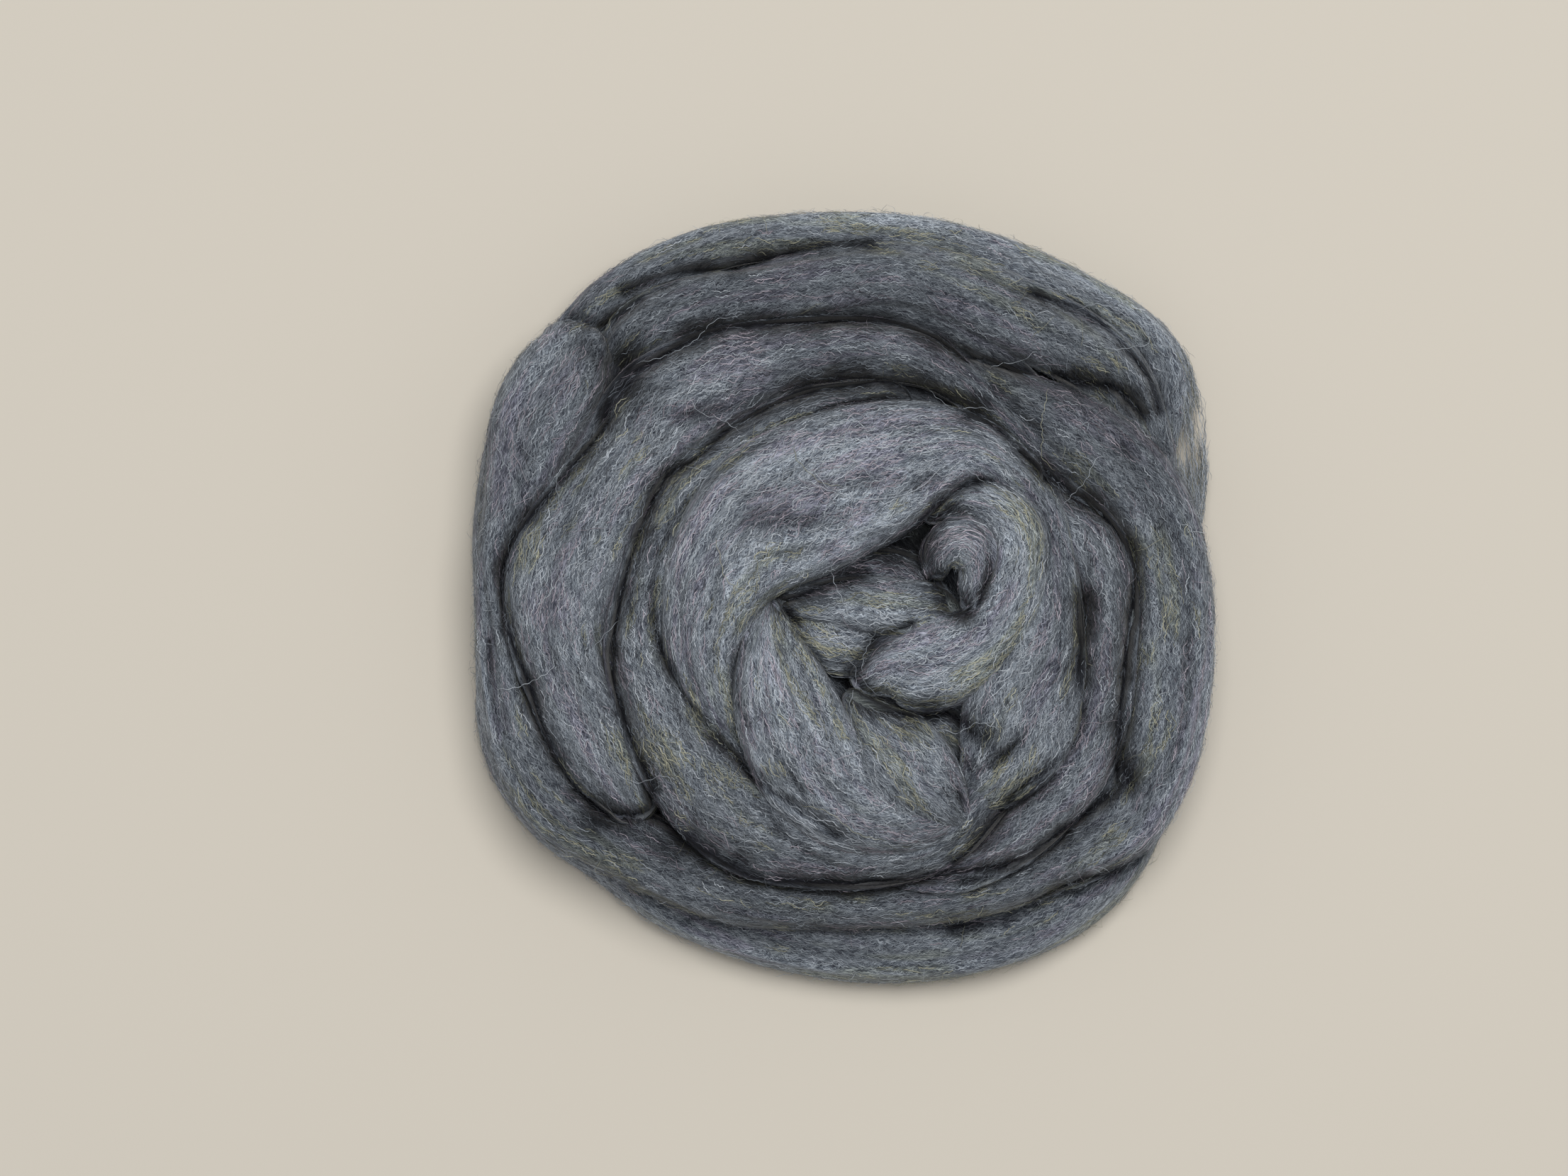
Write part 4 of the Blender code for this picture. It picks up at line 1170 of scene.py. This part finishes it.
def ribbonMesh(name, ribbons, rows):
    # one strip of faces, arrayed and then laid along each fibre
    count, steps = ribbons.shape[0], ribbons.shape[1] - 1
    bm = bmesh.new()
    bmesh.ops.create_grid(bm, x_segments=steps, y_segments=1, size=0.5)
    holder = addObject(name + "Strip", meshOf(bm, name + "Strip"))
    array = holder.modifiers.new("fibres", "ARRAY")
    array.count = count
    array.use_relative_offset = False
    array.use_constant_offset = True
    array.constant_offset_displace = (2, 0, 0)
    mesh = bpy.data.meshes.new_from_object(holder.evaluated_get(bpy.context.evaluated_depsgraph_get()))
    bpy.data.objects.remove(holder)
    mesh.name = name
    x, y = flatPlaces(mesh)
    k = np.rint(x / 2).astype(int)
    i = np.rint((x - 2 * k + 0.5) * steps).astype(int)
    j = (y > 0).astype(int)
    mesh.vertices.foreach_set("co", (ribbons[k, i, j] * mm).ravel())
    addMap(mesh, "OFBake", np.stack([i / steps, rows[k] + 0.004 * j], 1))
    addPiece(mesh, name, fibreMaterial)


def layFibres(name, total, members, settings, seed):
    # fibres over several turns, shared out by how much of each shows
    rng = np.random.default_rng(seed)
    areas = np.array([shownArea(surfaces[member]) for member in members])
    counts = np.maximum(6, np.rint(total * areas / areas.sum())).astype(int)
    laid = [fibreRibbons(surfaces[m], c, rng, settings) for m, c in zip(members, counts)]
    ribbons, rows = [np.concatenate(each) for each in zip(*laid)]
    ribbonMesh(name, ribbons, rows)
    print(name, len(ribbons), "fibres")


for n, (name, (total, members)) in enumerate(groups.items()):
    layFibres(name, total, members, fibres, 500 + n)
layFibres("flyaways", 1400, list(surfaces), flyaways, 600)
layFibres("edgeFuzz", 2200, rimNames, fuzz, 610)

# Long pale strays that cross the grooves: (x, y) in mm along each, and then what they share.
strays = [
    [
        (-36, 26), (-28, 29), (-20, 30), (-12, 33), (-4, 30), (4, 27.5), (14, 28), (22, 31), (27, 36),
        (31, 40),
    ],
    [(-14, 18), (-8, 18.5), (-4, 21.5), (-1, 23), (2, 21), (4, 17), (8, 15)],
    [(-98, 44), (-95, 38), (-93, 34), (-92, 28)],
    [(66, 81), (72, 83), (78, 81), (84, 77), (87, 72), (83, 71), (76, 70), (70, 73)],
    [(3, 32), (2.5, 26), (3, 20), (4, 14)],
    [(-58, 66), (-50, 68), (-42, 72), (-36, 78), (-30, 79)],
    [(22, 38), (28, 34), (34, 36), (40, 32)],
    [(-44, 58), (-40, 52), (-34, 50), (-28, 46)],
    [(26, -36), (32, -38), (38, -35), (44, -37)],
    [(-66, -48), (-58, -52), (-50, -50), (-46, -54)],
    [(60, 20), (66, 14), (69, 6), (72, 0)],
    [(-12, -58), (-4, -60), (4, -66), (12, -68)],
]
strayShape = {
    "segments": 44,
    "width": (0.09, 0.15),
    "lift": 0.5,
    "wave": 3.4,
    "reach": 0.2,
    "more": 26,  # placed at random
    "bridge": 4,  # segments to each side over which a stray spans a groove
}

# The loose tuft at the right.
tuft = {
    "count": 1600,
    "segments": 12,
    "width": (0.08, 0.15),
    "starts": (-0.08, 0.76),  # shares of the route where its fibres begin, and their lengths
    "spans": (0.14, 0.34),
    "crimps": [(1.9, 0.13), (4.2, 0.2)],  # mm a wave, and mm to each side
    "oliveShare": 0.15,
    # the middle of the tuft from above: x, y, z and its spread to the sides and up, in mm
    "route": [(88.5, 76, 16, 2.0, 2.5), (92.4, 70, 15, 3.8, 3.0), (96, 62, 13, 4.2, 3.6),
              (97.6, 54, 11, 4.6, 4.0), (99, 46, 9, 4.4, 4.5), (99.6, 37, 8, 4.2, 4.5),
              (100.4, 29, 8, 3.2, 3.5), (100.6, 21, 9, 2.0, 2.5)],
    # x, y and radius of the gaps in it, and the share of fibres that cross one
    "holes": [(95.6, 51.7, 1.3), (101.6, 50, 1.9), (97.4, 42, 2.1), (101, 38.6, 1.4)],
    "crossing": 0.12,
}


def alongRoute(route, t, step):
    # the route's columns at the shares t of its length, and its length
    path = smoothRows([tuple(point) + (0,) * (3 - len(point)) for point in route], step)
    arc = lengthsAlong(path)
    return np.stack([np.interp(t * arc[-1], arc, column) for column in path.T], -1), arc[-1]


def randomStray(rng):
    # a gentle curve that lies somewhere over the turns
    radius, turned = rng.uniform(8, 92), rng.uniform(0, 2 * math.pi)
    heading = turned + math.pi / 2 + rng.normal(0, 0.7)
    points = [(radius * math.cos(turned), radius * math.sin(turned))]
    for _ in range(rng.integers(3, 6)):
        heading += rng.normal(0, 0.45)
        step = rng.uniform(3.5, 6.5)
        points.append((points[-1][0] + step * math.cos(heading), points[-1][1] + step * math.sin(heading)))
    return points


def levelUnder(x, y):
    # how high the wool is at a place, in mm
    hit = nestTree.ray_cast(Vector((x * mm, y * mm, 0.1)), Vector((0, 0, -1)))[0]
    return hit.z / mm if hit else 4.0


def layStrays():
    rng = np.random.default_rng(700)
    t = np.linspace(0, 1, strayShape["segments"] + 1)
    span = strayShape["bridge"]
    ribbons, rows = [], []
    for route in strays + [randomStray(rng) for _ in range(strayShape["more"])]:
        path, length = alongRoute(route, t, 0.8)
        forward = unit(np.gradient(path[:, :2], axis=0))
        aside = np.stack([-forward[:, 1], forward[:, 0], np.zeros(len(t))], 1)
        drift = 2 * np.sin(5 * t + rng.uniform(0, 6))
        swing = np.sin(2 * math.pi * t * length / strayShape["wave"] + drift)
        path += aside * (strayShape["reach"] * swing)[:, None]
        # a stray bridges the grooves: it sags only a little into them
        heights = np.array([levelUnder(x, y) for x, y in path[:, :2]])
        tops = [np.max(heights[max(0, k - span) : k + span + 1]) for k in range(len(heights))]
        evenly = np.ones(2 * span + 1) / (2 * span + 1)
        smooth = np.convolve(np.pad(tops, span, mode="edge"), evenly, mode="valid")
        path[:, 2] = np.maximum(heights + 0.15, smooth * 0.7 + heights * 0.3 + strayShape["lift"])
        half = rng.uniform(*strayShape["width"]) / 2 * tapered(t, 8, 0.3)
        ribbons.append(ribbonsOn(path[None], aside[None], half[None])[0])
        rows.append(rng.uniform(0.34, 0.44) if rng.random() < 0.85 else rng.uniform(0.86, 0.94))
    ribbonMesh("strays", np.array(ribbons), np.array(rows))


def layTuft():
    # thin enough for the floor to show between its fibres
    rng = np.random.default_rng(710)
    count = tuft["count"]
    t = np.linspace(0, 1, tuft["segments"] + 1)
    start = between(rng, count, *tuft["starts"])
    span = between(rng, count, *tuft["spans"])
    path, whole = alongRoute(tuft["route"], np.clip(start + span * t, 0, 1), 1.0)
    middle, sideSpread, upSpread = path[..., :3], path[..., 3], path[..., 4]
    side = unit(np.cross(np.broadcast_to([0, 0, 1.0], middle.shape), unit(np.gradient(middle, axis=1))))
    aside = between(rng, count, -1, 1) + about(rng, count, 0.22) * (t - 0.5) * 2
    up = between(rng, count, -1, 1) + about(rng, count, 0.25) * (t - 0.5) * 2
    crimp = 0.0
    for wave, reach in tuft["crimps"]:
        wave = wave * between(rng, count, 0.8, 1.3)
        crimp = crimp + reach * np.sin(2 * math.pi * t * (span * whole) / wave + between(rng, count, 0, 6))
    middle = middle + side * (aside * sideSpread + crimp)[..., None]
    middle[..., 2] = np.maximum(middle[..., 2] + up * upSpread, 0.4)
    half = between(rng, count, *tuft["width"]) / 2 * tapered(t, 6, 0.3)
    olive = rng.random(count) < tuft["oliveShare"]
    rows = np.where(olive, rng.uniform(0.8, 0.9, count), rng.uniform(0.18, 0.46, count))
    keep = np.ones(count, bool)
    for x, y, radius in tuft["holes"]:
        nearest = np.hypot(middle[..., 0] - x, middle[..., 1] - y).min(1)
        keep &= (nearest > radius) | (rng.random(count) < tuft["crossing"])
    ribbonMesh("edgeTuft", ribbonsOn(middle, side, half)[keep], rows[keep])


layStrays()
layTuft()
print("strays and tuft laid")
